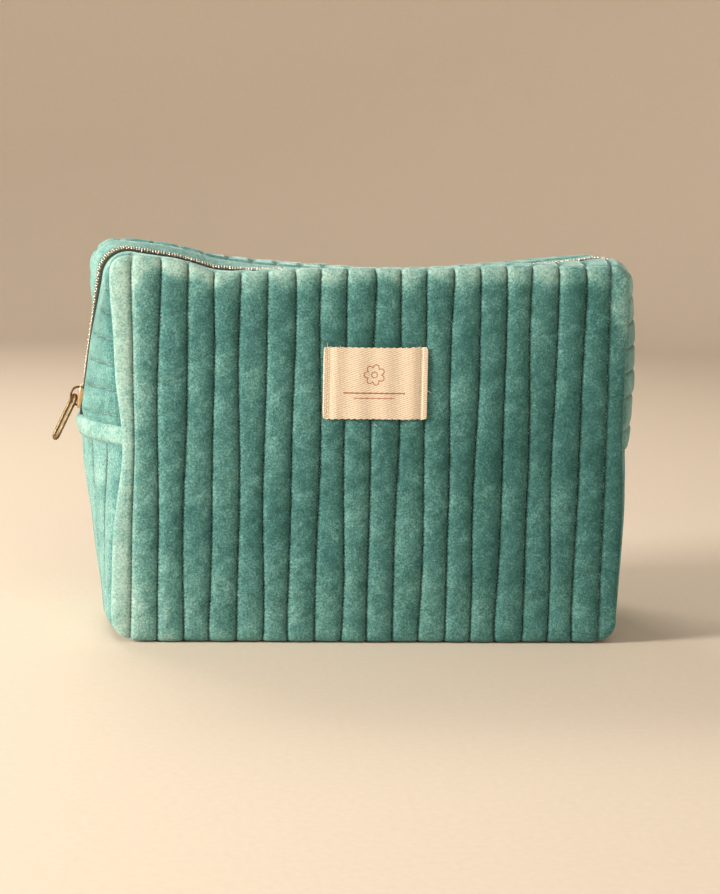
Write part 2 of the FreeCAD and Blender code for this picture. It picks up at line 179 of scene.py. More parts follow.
def section(y):
    """Upper and lower parts of the bag's outline at a depth, each from hem to hem."""
    share = max(0.0, 1.0 - (y / SEAM_DEPTH) ** 2)
    hem = HALF_WIDTH + HEM_BULGE * share
    corner = HALF_WIDTH + CORNER_BULGE * share
    foot = HALF_WIDTH + FOOT_BULGE * share
    corner_z = CORNER_HEIGHT + CORNER_RISE * share
    middle_z = MIDDLE_HEIGHT - MIDDLE_DROP * share
    top = EDGE_RADIUS + (MIDDLE_RADIUS - EDGE_RADIUS) * share
    run = math.hypot(corner, corner_z - middle_z)
    sag = SAG_SHARE * (run - top) * corner / (corner_z - middle_z)
    points = [(-hem, HEM_HEIGHT), (-corner, corner_z), (0.0, middle_z), (corner, corner_z),
              (hem, HEM_HEIGHT), (foot, 0.0), (-foot, 0.0)]
    line = rounded([np.array(p) for p in points], [0.0, top, sag, top, 0.0, FOOT_RADIUS, FOOT_RADIUS])
    cut = int(np.argmin(np.linalg.norm(line - points[4], axis=1)))
    return line[:cut + 1], np.vstack([line[cut:], line[:1]])


def outward(points):
    """Unit normals of a clockwise polyline, in its plane."""
    tangent = unit(np.gradient(points, axis=0))
    return np.stack([-tangent[:, 1], tangent[:, 0]], axis=1)


def smooth(value, low, high):
    """0 below low, 1 above high, and a smooth step between them."""
    t = np.clip((value - low) / (high - low), 0.0, 1.0)
    return t * t * (3.0 - 2.0 * t)


def bump(value, centre, below, above=None):
    """A bell with its own width on each side of its centre."""
    return bell(value - centre, np.where(value < centre, below, below if above is None else above))


def ripple(points, size, seed):
    """Smooth irregular field between about -1 and 1, with features of a given size."""
    rng = np.random.default_rng(seed)
    total = np.zeros(points.shape[:-1])
    for _ in range(7):
        direction = rng.normal(size=3)
        direction /= np.linalg.norm(direction)
        scale = 2.0 * math.pi / (size * rng.uniform(0.7, 1.5))
        total += np.sin(points @ direction * scale + rng.uniform(0.0, 2.0 * math.pi))
    return total / 3.2


# ---- how the bag settles ---------------------------------------------------------
def settle(points):
    """The small sags, pinches and flares of the filled bag; nothing moves beside the slider."""
    p = np.array(points, float)
    x, y, z = p[..., 0].copy(), p[..., 1].copy(), p[..., 2].copy()
    front = smooth(-y, -20.0, 50.0)
    back = smooth(y, -20.0, 50.0)
    edge = smooth(np.abs(y), 15.0, 50.0)
    left = smooth(-x, 108.0, 120.0)
    right = smooth(x, 108.0, 120.0)
    high = smooth(z, 120.0, 175.0)
    top = smooth(z, *TOP_ZONE)
    depth_share = np.clip(1.0 - (y / SEAM_DEPTH) ** 2, 0.0, 1.0)
    # the front's left edge is pinched in at the hem and flares out at the top corner
    p[..., 0] += left * edge * (4.6 * bump(z, 92.0, 28.0) - 2.6 * smooth(z, 140.0, 172.0))
    p[..., 0] += right * edge * (1.2 * bump(z, 62.0, 40.0) - 0.6 * bump(z, 105.0, 22.0))
    # the top left corner is turned a little, so that the zipper there faces the front
    turned = y * bell(y, 30.0)
    p[..., 0] -= left * (0.06 + 0.27 * smooth(z, 138.0, 172.0)) * turned * smooth(z, 5.0, 60.0)
    p[..., 2] += smooth(-x, 35.0, 105.0) * top * 0.19 * turned
    behind = smooth(y, 3.0, 16.0) * (1.0 - smooth(y, 40.0, 51.0))
    p[..., 2] += behind * top * 1.2 * bump(x, -92.0, 40.0, 60.0)
    p[..., 0] -= behind * left * 1.2 * smooth(z, 155.0, 172.0)
    # the right side is flatter than the left
    p[..., 0] -= right * depth_share * 7.0 * bump(z, 92.0, 42.0, 34.0)
    # the top edge dips beside the left corner, and the back half hangs lower in the middle
    dip = 4.6 * bump(x, -72.0, 13.0, 34.0) * (front + 0.75 * (1.0 - front))
    p[..., 2] -= high * dip * (1.0 - 0.7 * back)
    p[..., 2] -= high * back * 3.6 * bump(x, 18.0, 62.0)
    p[..., 2] += high * front * (1.0 * bump(x, 62.0, 26.0) - 1.2 * bump(x, 112.0, 22.0))
    # the front corner of the foot is lifted a little on the left
    p[..., 2] += 1.2 * left * front * bump(z, 0.0, 30.0)
    # soft fullness of the faces
    face = smooth(np.abs(y), 30.0, 54.0) * smooth(z, 4.0, 40.0) * (1.0 - smooth(z, 130.0, 172.0))
    belly = face * (1.0 - (x / 128.0) ** 2) * 1.6
    p[..., 1] += np.sign(y) * belly
    p[..., 1] += face * 0.8 * ripple(np.stack([x, 0.0 * y, z], axis=-1), 90.0, 5)
    # and the floor flattens what would sink into it
    low = p[..., 2]
    p[..., 2] = 0.15 + 0.5 * (low + np.sqrt(low * low + 0.5))
    return p


# ---- meshes ------------------------------------------------------------------------
def new_object(name, vertices, faces, material):
    """Smooth-shaded object from millimetre vertices."""
    mesh = bpy.data.meshes.new(name)
    mesh.from_pydata((np.asarray(vertices).reshape(-1, 3) * MM).tolist(), [], faces)
    mesh.polygons.foreach_set("use_smooth", [True] * len(mesh.polygons))
    mesh.update()
    mesh.materials.append(material)
    made = bpy.data.objects.new(name, mesh)
    bpy.context.scene.collection.objects.link(made)
    return made


def grid_faces(rows, columns, start=0, wrap=False, flip=False):
    """Quads of a grid of vertices; wrap joins its last column to its first."""
    faces = []
    for i in range(rows - 1):
        for j in range(columns if wrap else columns - 1):
            k = (j + 1) % columns
            a, b = start + i * columns + j, start + i * columns + k
            c, d = b + columns, a + columns
            faces.append((a, d, c, b) if flip else (a, b, c, d))
    return faces


def ring_faces(rows, columns):
    """Quads that join a wrapped grid's last row to its first."""
    last = (rows - 1) * columns
    return [(last + j, last + (j + 1) % columns, (j + 1) % columns, j) for j in range(columns)]


def end_faces(rows, columns, start=0, flip=False):
    """The two faces that close a wrapped grid's ends."""
    first = tuple(range(start, start + columns))
    last = tuple(range(start + (rows - 1) * columns, start + rows * columns))
    return [first, last[::-1]] if flip else [first[::-1], last]


def closed_shell(name, outer, inner, material, flip=False):
    """Closed piece between an outer grid and a coarser inner grid with the same first axis."""
    loop = np.concatenate([outer, inner[:, ::-1]], axis=1)
    rows, columns = loop.shape[:2]
    faces = grid_faces(rows, columns, wrap=True, flip=flip) + end_faces(rows, columns, flip=flip)
    return new_object(name, loop, faces, material)


def grid_normals(grid):
    """Unit normals of a grid of points; their side depends on the grid's direction."""
    normal = np.cross(np.gradient(grid, axis=0), np.gradient(grid, axis=1))
    size = np.linalg.norm(normal, axis=-1)[..., None]
    return normal / np.maximum(size, 1e-9)


def set_value(piece, name, values):
    """Writes a number for each vertex, for the materials to read."""
    attribute = piece.data.attributes.new(name, "FLOAT", "POINT")
    attribute.data.foreach_set("value", np.asarray(values, np.float32).ravel())


def resampled(line, normals, pitch):
    """Points one pitch apart along a line, and the normals there."""
    count = max(2, int(round(length(line) / pitch)) + 1)
    steps = travel(line)
    at = np.linspace(0.0, 1.0, count) * steps[-1]
    return sampled(at, steps, line), unit(sampled(at, steps, normals))


# rings along a stitch: share of its length, share of its radius, and lift in thread thicknesses
STITCH_RINGS = ((0.02, 0.35, -0.5), (0.16, 0.85, 0.0), (0.5, 1.0, 0.2), (0.84, 0.85, 0.0), (0.98, 0.35, -0.5))
STITCH_SIDES = 6


def stitching(name, rows, radius, material, sink=0.0):
    """Rows of separate stitches; each is a short thread that dives into the cloth at both ends."""
    vertices, faces = [], []
    for line, normals in rows:
        points, turned = resampled(line, normals, STITCH)
        for start, end, normal in zip(points[:-1], points[1:], turned[:-1]):
            run = end - start
            across = np.cross(run, normal)
            across /= max(np.linalg.norm(across), 1e-9)
            base = len(vertices)
            for place, width, lift in STITCH_RINGS:
                centre = start + run * place + normal * (lift * radius * 2.0 - sink)
                for k in range(STITCH_SIDES):
                    angle = 2.0 * math.pi * k / STITCH_SIDES
                    ring = across * math.cos(angle) + normal * math.sin(angle)
                    vertices.append(centre + ring * radius * width)
            faces += grid_faces(len(STITCH_RINGS), STITCH_SIDES, base, wrap=True)
            faces += end_faces(len(STITCH_RINGS), STITCH_SIDES, base)
    return new_object(name, vertices, faces, material)


def tube(name, line, radii, material, sides):
    """Round thread along a polyline, with a radius for each of its points."""
    tangent = unit(np.gradient(line, axis=0))
    across = np.cross(tangent[0], (0.3, 1.0, 0.2))
    vertices = []
    for point, direction, size in zip(line, tangent, radii):
        across = across - direction * (across @ direction)
        across /= np.linalg.norm(across)
        third = np.cross(direction, across)
        for k in range(sides):
            angle = 2.0 * math.pi * k / sides
            vertices.append(point + (across * math.cos(angle) + third * math.sin(angle)) * size)
    faces = grid_faces(len(line), sides, wrap=True) + end_faces(len(line), sides)
    return new_object(name, vertices, faces, material)


# ---- materials -----------------------------------------------------------------------
class Surface:
    """A Principled material and short calls for the nodes that feed it."""

    def __init__(self, name, **uniform):
        self.material = bpy.data.materials.new(name)
        self.material.use_nodes = True
        self.tree = self.material.node_tree
        self.shader = self.tree.nodes["Principled BSDF"]
        for socket, value in uniform.items():
            self.shader.inputs[socket.replace("_", " ")].default_value = value

    def node(self, kind, inputs=(), **settings):
        made = self.tree.nodes.new(kind)
        for key, value in settings.items():
            setattr(made, key, value)
        for socket, value in dict(inputs).items():
            self.feed(made.inputs[socket], value)
        return made

    def feed(self, socket, value):
        if isinstance(value, bpy.types.NodeSocket):
            self.tree.links.new(value, socket)
        else:
            socket.default_value = value

    def coordinates(self):
        return self.node("ShaderNodeTexCoord").outputs["Object"]

    def attribute(self, name):
        return self.node("ShaderNodeAttribute", attribute_name=name).outputs["Fac"]

    def noise(self, size, detail=2.0, roughness=0.5, distortion=0.0, stretch=(1.0, 1.0, 1.0)):
        """Noise with features of a size in millimetres."""
        where = self.node("ShaderNodeMapping", {"Vector": self.coordinates(), "Scale": stretch})
        inputs = {"Vector": where.outputs[0], "Scale": 1.0 / (size * MM), "Detail": detail,
                  "Roughness": roughness, "Distortion": distortion}
        return self.node("ShaderNodeTexNoise", inputs).outputs["Fac"]

    def math(self, operation, first, second=0.0, clamp=False):
        made = self.node("ShaderNodeMath", {0: first, 1: second}, operation=operation, use_clamp=clamp)
        return made.outputs[0]

    def blended(self, first, first_share, second, second_share):
        """Sum of two values, each times its share."""
        return self.math("ADD", self.math("MULTIPLY", first, first_share),
                         self.math("MULTIPLY", second, second_share))

    def ramp(self, value, stops):
        made = self.node("ShaderNodeValToRGB", {"Fac": value})
        while len(made.color_ramp.elements) < len(stops):
            made.color_ramp.elements.new(0.5)
        for element, (place, colour) in zip(made.color_ramp.elements, stops):
            element.position = place
            element.color = (*colour, 1.0)
        return made.outputs["Color"]

    def fit(self, value, low, high, new_low, new_high):
        inputs = {"Value": value, "From Min": low, "From Max": high, "To Min": new_low, "To Max": new_high}
        return self.node("ShaderNodeMapRange", inputs).outputs["Result"]

    def mix(self, share, first, second, blend="MIX"):
        made = self.node("ShaderNodeMix", data_type="RGBA", blend_type=blend)
        self.feed(made.inputs["Factor"], share)
        self.feed(made.inputs[6], first if isinstance(first, bpy.types.NodeSocket) else (*first, 1.0))
        self.feed(made.inputs[7], second if isinstance(second, bpy.types.NodeSocket) else (*second, 1.0))
        return made.outputs[2]

    def bump(self, height, distance, strength=1.0, after=None):
        inputs = {"Height": height, "Distance": distance * MM, "Strength": strength}
        if after is not None:
            inputs["Normal"] = after
        return self.node("ShaderNodeBump", inputs).outputs["Normal"]

    def finish(self, colour, roughness, normal=None):
        self.feed(self.shader.inputs["Base Color"], colour)
        self.feed(self.shader.inputs["Roughness"], roughness)
        if normal is not None:
            self.feed(self.shader.inputs["Normal"], normal)
        return self.material


DEEP_TEAL = (0.026, 0.098, 0.090)
TEAL = (0.058, 0.175, 0.163)
LIGHT_TEAL = (0.135, 0.315, 0.290)
# palest end of the velvet's ramp, reached mostly where painted light is added
PAINTED_LIGHT_MINT = (0.430, 0.620, 0.545)
DARK_COTTON = (0.46, 0.32, 0.20)
COTTON = (0.74, 0.60, 0.44)
PALE_COTTON = (0.88, 0.77, 0.62)
TWILL_PITCH = 0.95          # spacing of the label's slanting ribs
TWILL_CROSS = 0.62          # and of the threads across them


def velvet(name):
    """Short-pile cotton velvet: mottled pile and fine grain, paler towards the pale end of its ramp where
    painted light is added per vertex, and darker where painted shade is added.
    """
    s = Surface(name, Sheen_Weight=0.55, Sheen_Roughness=0.32, Sheen_Tint=(0.72, 0.95, 0.88, 1.0),
                Specular_IOR_Level=0.10)
    patches = s.noise(9.0, 2.0, 0.5, 0.5)
    smears = s.noise(3.2, 3.0, 0.6, 0.4)
    grain = s.blended(s.noise(0.95, 2.0, 0.7), 0.6, s.noise(0.45, 2.0, 0.7), 0.4)
    tone = s.blended(patches, 0.38, smears, 0.24)
    tone = s.math("ADD", tone, s.math("MULTIPLY", grain, 1.30))
    # painted light: a per-vertex value lifts the tone towards the pale end of the ramp
    tone = s.math("ADD", s.math("ADD", tone, s.math("MULTIPLY", s.attribute("nap_and_painted_light"), 0.60)), -0.51)
    colour = s.ramp(tone, ((0.22, DEEP_TEAL), (0.46, TEAL), (0.66, LIGHT_TEAL), (1.0, PAINTED_LIGHT_MINT)))
    # painted shade: a per-vertex groove shade darkens the colour along stitched grooves, stitch dents and
    # seams
    shade_factor = s.fit(s.attribute("painted_crease_shade"), 0.0, 1.0, 1.0, 0.34)
    colour = s.mix(1.0, colour, s.node("ShaderNodeCombineColor", {0: shade_factor, 1: shade_factor, 2: shade_factor}).outputs[0],
                   "MULTIPLY")
    roughness = s.fit(grain, 0.2, 0.8, 0.80, 0.98)
    normal = s.bump(grain, 0.42, 0.9, s.bump(smears, 0.7, 0.3))
    return s.finish(colour, roughness, normal)


def thread(name, colour, dark):
    """Twisted sewing thread."""
    s = Surface(name, Sheen_Weight=0.25, Sheen_Roughness=0.4, Specular_IOR_Level=0.3)
    ply = s.noise(0.5, 1.0, 0.5, 0.3, (1.0, 1.0, 2.5))
    shade = s.ramp(ply, ((0.3, dark), (0.7, colour)))
    return s.finish(shade, s.fit(ply, 0.3, 0.7, 0.5, 0.75), s.bump(ply, 0.12, 0.6))


def woven(name, light, dark, pitch, sheen=0.15):
    """Plain weave: warp and weft ridges that pass over and under each other."""
    s = Surface(name, Sheen_Weight=sheen, Sheen_Roughness=0.5, Specular_IOR_Level=0.2)
    parts = s.node("ShaderNodeSeparateXYZ", {"Vector": s.coordinates()})
    rate = 2.0 * math.pi / (pitch * MM)
    x = s.math("SINE", s.math("MULTIPLY", s.math("ADD", parts.outputs["X"], parts.outputs["Y"]), rate))
    z = s.math("SINE", s.math("MULTIPLY", s.math("ADD", parts.outputs["Z"], parts.outputs["Y"]), rate))
    weave = s.fit(s.math("MULTIPLY", x, z), -1.0, 1.0, 0.0, 1.0)
    slub = s.noise(2.2, 3.0, 0.6)
    tone = s.blended(weave, 0.5, slub, 0.5)
    return s.finish(s.ramp(tone, ((0.2, dark), (0.8, light))), s.fit(slub, 0.3, 0.7, 0.7, 0.92),
                    s.bump(weave, 0.15, 0.7, s.bump(slub, 0.5, 0.3)))


def twill(name):
    """Cream cotton twill with fine slanting ribs."""
    s = Surface(name, Sheen_Weight=0.25, Sheen_Roughness=0.5, Specular_IOR_Level=0.2)
    parts = s.node("ShaderNodeSeparateXYZ", {"Vector": s.coordinates()})
    wander = s.math("MULTIPLY", s.noise(6.0, 2.0), 0.9 * MM)
    slant = s.math("SUBTRACT", s.math("MULTIPLY", parts.outputs["Z"], 0.94),
                   s.math("MULTIPLY", parts.outputs["X"], 0.34))
    slant = s.math("ADD", slant, wander)
    rib = s.math("SINE", s.math("MULTIPLY", slant, 2.0 * math.pi / (TWILL_PITCH * MM)))
    cross = s.math("SINE", s.math("MULTIPLY", parts.outputs["X"], 2.0 * math.pi / (TWILL_CROSS * MM)))
    weave = s.fit(s.math("ADD", rib, s.math("MULTIPLY", cross, 0.35)), -1.35, 1.35, 0.0, 1.0)
    fuzz = s.noise(0.8, 4.0, 0.7)
    tone = s.blended(weave, 0.62, fuzz, 0.38)
    colour = s.ramp(tone, ((0.12, DARK_COTTON), (0.42, COTTON), (0.75, PALE_COTTON)))
    relief = s.bump(weave, 0.22, 0.8, s.bump(fuzz, 0.15, 0.4))
    return s.finish(colour, s.fit(fuzz, 0.3, 0.7, 0.75, 0.95), relief)


def metal(name, bright, dull, roughness):
    """Antiqued metal: bright on edges, dark and rough where the patina stays."""
    s = Surface(name, Metallic=1.0)
    worn = s.fit(s.node("ShaderNodeNewGeometry").outputs["Pointiness"], 0.44, 0.56, 0.0, 1.0)
    patina = s.noise(1.6, 4.0, 0.65, 0.5)
    tone = s.math("ADD", s.math("MULTIPLY", worn, 0.75), s.math("MULTIPLY", patina, 0.35), clamp=True)
    scratches = s.noise(0.35, 3.0, 0.7, 0.0, (1.0, 1.0, 0.25))
    return s.finish(s.ramp(tone, ((0.25, dull), (0.72, bright))),
                    s.fit(tone, 0.2, 0.9, roughness + 0.22, roughness), s.bump(scratches, 0.04, 0.5))


def ink(name, colour):
    """Slightly uneven print."""
    s = Surface(name, Specular_IOR_Level=0.25)
    patch = s.noise(0.5, 3.0, 0.7)
    shade = s.ramp(patch, ((0.3, colour), (0.75, tuple(1.35 * c for c in colour))))
    return s.finish(shade, s.fit(patch, 0.3, 0.7, 0.6, 0.85), s.bump(patch, 0.1, 0.5))


VELVET = velvet("velvet")
THREAD = thread("quilting_thread", (0.260, 0.460, 0.410), (0.040, 0.120, 0.105))
# painted highlight: a paler copy of the quilting thread for the strips' stitches, as if catching the light
PAINTED_LIT_THREAD = thread("painted_lit_strip_thread", (0.560, 0.800, 0.700), (0.190, 0.380, 0.330))
TAPE = woven("zipper_tape", (0.020, 0.050, 0.036), (0.005, 0.014, 0.010), 0.7)
LINING_CLOTH = woven("lining", (0.62, 0.53, 0.41), (0.44, 0.36, 0.27), 0.5)
BINDING_CLOTH = woven("seam_tape", (0.10, 0.26, 0.22), (0.04, 0.13, 0.11), 0.6)
LABEL_CLOTH = twill("label_twill")
LABEL_THREAD = thread("label_thread", (0.80, 0.68, 0.52), (0.46, 0.33, 0.22))
BRASS = metal("slider_brass", (0.83, 0.60, 0.34), (0.13, 0.075, 0.035), 0.24)
TOOTH_METAL = metal("zipper_brass", (0.70, 0.66, 0.54), (0.060, 0.055, 0.038), 0.22)
INK = ink("printed_ink", (0.36, 0.13, 0.055))


# ---- quilted shapes --------------------------------------------------------------------
def pillow(t, flatness=5.0):
    """Height of a stuffed channel across its width, from one stitched line to the next."""
    return (1.0 - np.abs(2.0 * t - 1.0) ** flatness) ** 0.55


# stations across a channel, crowded towards its stitched lines
ACROSS = np.array([0.0, 0.018, 0.05, 0.1, 0.17, 0.26, 0.37, 0.5, 0.63, 0.74, 0.83, 0.9, 0.95, 0.982])


def channel_nodes(lines):
    """Grid stations across a set of channels: where they are, their channel and share of it."""
    lines = np.asarray(lines)
    spread = lines[:-1, None] + np.diff(lines)[:, None] * ACROSS
    channel = np.repeat(np.arange(len(lines) - 1), len(ACROSS))
    share = np.tile(ACROSS, len(lines) - 1)
    return np.r_[spread.ravel(), lines[-1]], np.r_[channel, len(lines) - 2], np.r_[share, 1.0]


def pits(share, width, run):
    """Dents that each stitch pulls into the cloth beside its line."""
    near = np.minimum(share, 1.0 - share) * width
    needle = 0.5 + 0.5 * np.cos(2.0 * math.pi * run / STITCH)
    return bell(near, 1.2) * needle


def painted_groove_shade(near, depth, dents, gap, extra=0.0):
    """Painted shade along the cloth's grooves and seams: near is the distance to a row of stitches and gap
    the one to the seam; stitch dents and any extra shade darken it too.
    """
    stitched = bell(near, GROOVE_SHADE_WIDTH) * depth + 0.25 * dents + extra
    return np.maximum(stitched, 0.9 * bell(gap, SEAM_SHADOW))


# distances from a panel's seam, crowded where its edge rolls over
ROLL_STEPS = (0.0, 0.12, 0.4, 0.8, 1.3, 1.9, 2.6, 3.4)
SIDE_STEPS = ROLL_STEPS + (4.3, 5.3, 6.4, 7.4, 8.3, 9.0)


def panel_stations(height, step, ends):
    """Shares of a panel's height from one seam to the other, crowded at both ends."""
    ends = np.array(ends)
    inner = np.arange(ends[-1] + step, height - ends[-1], step)
    return np.r_[ends, inner, height - ends[::-1]] / height


CHUNK = 4000                # points measured at a time


def nearest_on(line, points):
    """Distance to a closed clockwise polyline, the nearest point on it, and the way in from there."""
    start, run = line[:-1], np.diff(line, axis=0)
    size = (run ** 2).sum(1)
    inside = np.stack([run[:, 1], -run[:, 0]], axis=1) / np.sqrt(size)[:, None]
    distance, foot, inward = np.empty(len(points)), np.empty((len(points), 2)), np.empty((len(points), 2))
    for first in range(0, len(points), CHUNK):
        chunk = points[first:first + CHUNK]
        gap = chunk[:, None] - start[None]
        t = np.clip((gap * run).sum(2) / size, 0.0, 1.0)
        spots = start + t[..., None] * run
        away = np.linalg.norm(chunk[:, None] - spots, axis=2)
        best = away.argmin(1)
        rows = np.arange(len(chunk))
        distance[first:first + CHUNK] = away[rows, best]
        foot[first:first + CHUNK] = spots[rows, best]
        inward[first:first + CHUNK] = inside[best]
    # right beside the seam, the way in is the seam's own normal
    clear = distance > 0.4
    inward[clear] = (points - foot)[clear] / distance[clear][:, None]
    distance = np.where(clear, distance, np.maximum(((points - foot) * inward).sum(1), 0.0))
    return distance, foot, inward


def rolled_edge(distance):
    """Inset and depth of a panel's surface at a distance from its seam."""
    t = np.clip(distance / ROLL, 0.0, 1.0) ** 0.6
    face = HALF_DEPTH - 1.0
    inset = (SEAM_INSET, -1.6, -1.0, ROLL)
    depth = (SEAM_DEPTH, SEAM_DEPTH + 2.8, face, face)
    weights = ((1 - t) ** 3, 3 * t * (1 - t) ** 2, 3 * t * t * (1 - t), t ** 3)
    return sum(w * v for w, v in zip(weights, inset)), sum(w * v for w, v in zip(weights, depth))


def line_wander(index, z, side):
    """How far a panel's stitched line strays sideways; it follows its own slow wave."""
    phase = 1.7 * index + (0.0 if side < 0 else 2.1)
    return 0.55 * np.sin(z / 37.0 + phase) + 0.35 * np.sin(z / 17.0 + 2.3 * phase)


def panel_grid(side):
    """Quilted face of the front (side -1) or back (side 1) panel."""
    upper, lower = section(SEAM_DEPTH)
    inset_upper = upper - PLUMP * outward(upper)
    inset_lower = lower - PLUMP * outward(lower)
    loop = np.vstack([inset_upper, inset_lower[1:-1], inset_upper[:1]])
    half = HALF_WIDTH - PLUMP
    # stations across: the channels between stitched lines, and an outermost one at each side
    lines = [(index - (PANEL_LINES - 1) / 2.0) * CHANNEL for index in range(PANEL_LINES)]
    places, channel, share = channel_nodes(lines)
    channel = channel + 1
    margin = half - lines[-1]
    steps = np.array(SIDE_STEPS) * margin / SIDE_STEPS[-1]
    places = np.r_[-half + steps[:-1], places, half - steps[-2::-1]]
    side_share = np.array(SIDE_STEPS[:-1]) / SIDE_STEPS[-1]
    share = np.r_[side_share, share, 1.0 - side_share[::-1]]
    channel = np.r_[np.zeros(len(side_share), int), channel, np.full(len(side_share), PANEL_LINES)]
    # stations up: from the foot to the top edge
    rim = np.clip(places, -half + 1e-6, half - 1e-6)
    bottom_part = inset_lower[inset_lower[:, 1] < HEM_HEIGHT / 2.0]
    bottom_part = bottom_part[np.argsort(bottom_part[:, 0], kind="stable")]
    top_edge = inset_upper[inset_upper[:, 1] > HEM_HEIGHT + 1.0]
    top_z = np.interp(rim, top_edge[:, 0], top_edge[:, 1])
    foot_z = np.interp(rim, bottom_part[:, 0], bottom_part[:, 1])
    rows = panel_stations(PANEL_HEIGHT, STITCH / 3.0, ROLL_STEPS)
    z = foot_z[:, None] + (top_z - foot_z)[:, None] * rows[None]
    x = np.repeat(places[:, None], len(rows), axis=1)
    # the stitched lines wander, but not at the seams
    free = np.clip((half - np.abs(x)) / 20.0, 0.0, 1.0)
    free = free * smooth(np.minimum(rows, 1.0 - rows), 0.0, 0.03)[None]
    nearest_line = channel - 1 + share
    x = x + free * line_wander(nearest_line[:, None], z, side)
    # and the edge rolls over into the seam
    flat = np.stack([x.ravel(), z.ravel()], axis=1)
    distance, foot, inward = nearest_on(loop, flat)
    inset, depth = rolled_edge(distance)
    edge = distance < ROLL
    flat = np.where(edge[:, None], foot + inward * inset[:, None], flat)
    base = np.stack([flat[:, 0], side * depth, flat[:, 1]], axis=1).reshape(*x.shape, 3)
    distance = distance.reshape(x.shape)
    return base, distance, channel, share, places, z


SIM_SHARES = np.array([0.0, 0.2, 0.4, 0.6, 0.8])
SIM_ROWS = 60
SIM_FRAMES = 18
SIM_GROW = 20.0             # simulated this much larger, where the solver suits the cloth's stiffness
SIM_STRAY = 0.04            # unevenness of the cover before it swells
CLOTH = {"vertex_group_mass": "pins", "quality": 6, "mass": 0.3, "tension_stiffness": 25.0,
         "compression_stiffness": 25.0, "shear_stiffness": 8.0, "bending_stiffness": 0.4,
         "shrink_min": -0.02, "use_pressure": True, "uniform_pressure_force": 1.5}


def cover_columns(count):
    """Which of a panel's columns the coarse cover keeps: every stitched line and a few between."""
    first = len(SIDE_STEPS) - 1
    kept = [int(np.argmin(np.abs(ACROSS - t))) for t in SIM_SHARES]
    columns = [0]
    for index in range(PANEL_LINES - 1):
        columns += [first + index * len(ACROSS) + step for step in kept]
    columns += [first + (PANEL_LINES - 1) * len(ACROSS), count - 1]
    stitched = [i for i, column in enumerate(columns) if (column - first) % len(ACROSS) == 0]
    return np.array(columns), sorted({0, len(columns) - 1, *stitched})


def swollen(start, pinned, flip):
    """Lets a grid of cloth swell under the wadding's pressure, held at its pinned columns and both ends."""
    rows, columns = start.shape[:2]
    mesh = bpy.data.meshes.new("cover")
    mesh.from_pydata([tuple(v) for v in start.reshape(-1, 3) * MM * SIM_GROW], [],
                     grid_faces(rows, columns, flip=flip))
    cover = bpy.data.objects.new("cover", mesh)
    scene = bpy.context.scene
    scene.collection.objects.link(cover)
    held = {i * columns + j for i in pinned for j in range(columns)}
    held |= {i * columns + j for i in range(rows) for j in (0, columns - 1)}
    cover.vertex_groups.new(name="pins").add(sorted(held), 1.0, "REPLACE")
    modifier = cover.modifiers.new("cloth", "CLOTH")
    for setting, value in CLOTH.items():
        setattr(modifier.settings, setting, value)
    modifier.settings.effector_weights.gravity = 0.0
    modifier.collision_settings.use_collision = False
    modifier.point_cache.frame_start = 1
    modifier.point_cache.frame_end = SIM_FRAMES
    for frame_number in range(1, SIM_FRAMES + 1):
        scene.frame_set(frame_number)
    evaluated = cover.evaluated_get(bpy.context.evaluated_depsgraph_get())
    moved = np.array([v.co[:] for v in evaluated.data.vertices]).reshape(start.shape) / (MM * SIM_GROW)
    bpy.data.objects.remove(cover)
    bpy.data.meshes.remove(mesh)
    scene.frame_set(1)
    return moved


def relaxed_cover(places, rows, base, height, normal, side):
    """How far a panel's cover moves along its normals when its wadding swells between the stitched lines.

    A coarse cover, pinned along every quilting line and round the seam, is blown up a little by
    the wadding while its cloth is slightly longer than the panel, so that it puckers."""
    columns, stitched = cover_columns(len(places))
    picked = np.unique(np.linspace(0, len(rows) - 1, SIM_ROWS).astype(int))
    surface = base + normal * height[..., None]
    start = surface[np.ix_(columns, picked)]
    facing = normal[np.ix_(columns, picked)]
    rng = np.random.default_rng(51 + int(side))
    start = start + facing * rng.normal(0.0, SIM_STRAY, start.shape[:2])[..., None]
    moved = swollen(start, stitched, side < 0)
    lift = ((moved - start) * facing).sum(2)
    lift[~np.isfinite(lift)] = 0.0
    rise = np.empty((len(columns), len(rows)))
    for row, values in enumerate(lift):
        rise[row] = np.interp(np.arange(len(rows)), picked, values)
    full = np.empty((len(places), len(rows)))
    for column in range(len(rows)):
        full[:, column] = np.interp(np.arange(len(places)), columns, rise[:, column])
    return full


def panel_painted_light(base, distance, grid_share, side):
    """Painted light on a panel, over a little random mottling of its pile: paler where painted as lit, darker
    where painted as shaded.
    """
    across, high = base[..., 0], base[..., 2]
    nap_and_painted_light = 0.07 * ripple(base, 60.0, 21 + side) + 0.04 * ripple(base, 22.0, 25 + side)
    # painted highlight along the rolled top, painted light on the left outer channels and the left half,
    # paler low down, and painted shade towards the right
    band = 7.0 + 2.6 * ripple(base, 13.0, 27 + side)
    nap_and_painted_light += 0.66 * np.exp(-(distance / band) ** 2.5) * smooth(high, 120.0, 165.0)
    nap_and_painted_light += 0.30 * (1.0 - smooth(across, -115.0, -108.0)) + 0.16 * (1.0 - smooth(across, -114.0, -88.0))
    nap_and_painted_light += 0.10 * smooth(-across, 0.0, 118.0)
    nap_and_painted_light += 0.16 * bump(high, 8.0, 20.0) - 0.10 * smooth(across, 20.0, 110.0)
    # and every channel is painted lighter on its left side and darker on its right, as if lit from the left
    nap_and_painted_light += 0.10 * (0.5 - grid_share)
    return np.minimum(nap_and_painted_light, 0.70)


LIFT_SHARE = 0.55           # share of the simulated swelling that the panel takes
LIFT_LIMIT = 1.4            # and the most that it may be


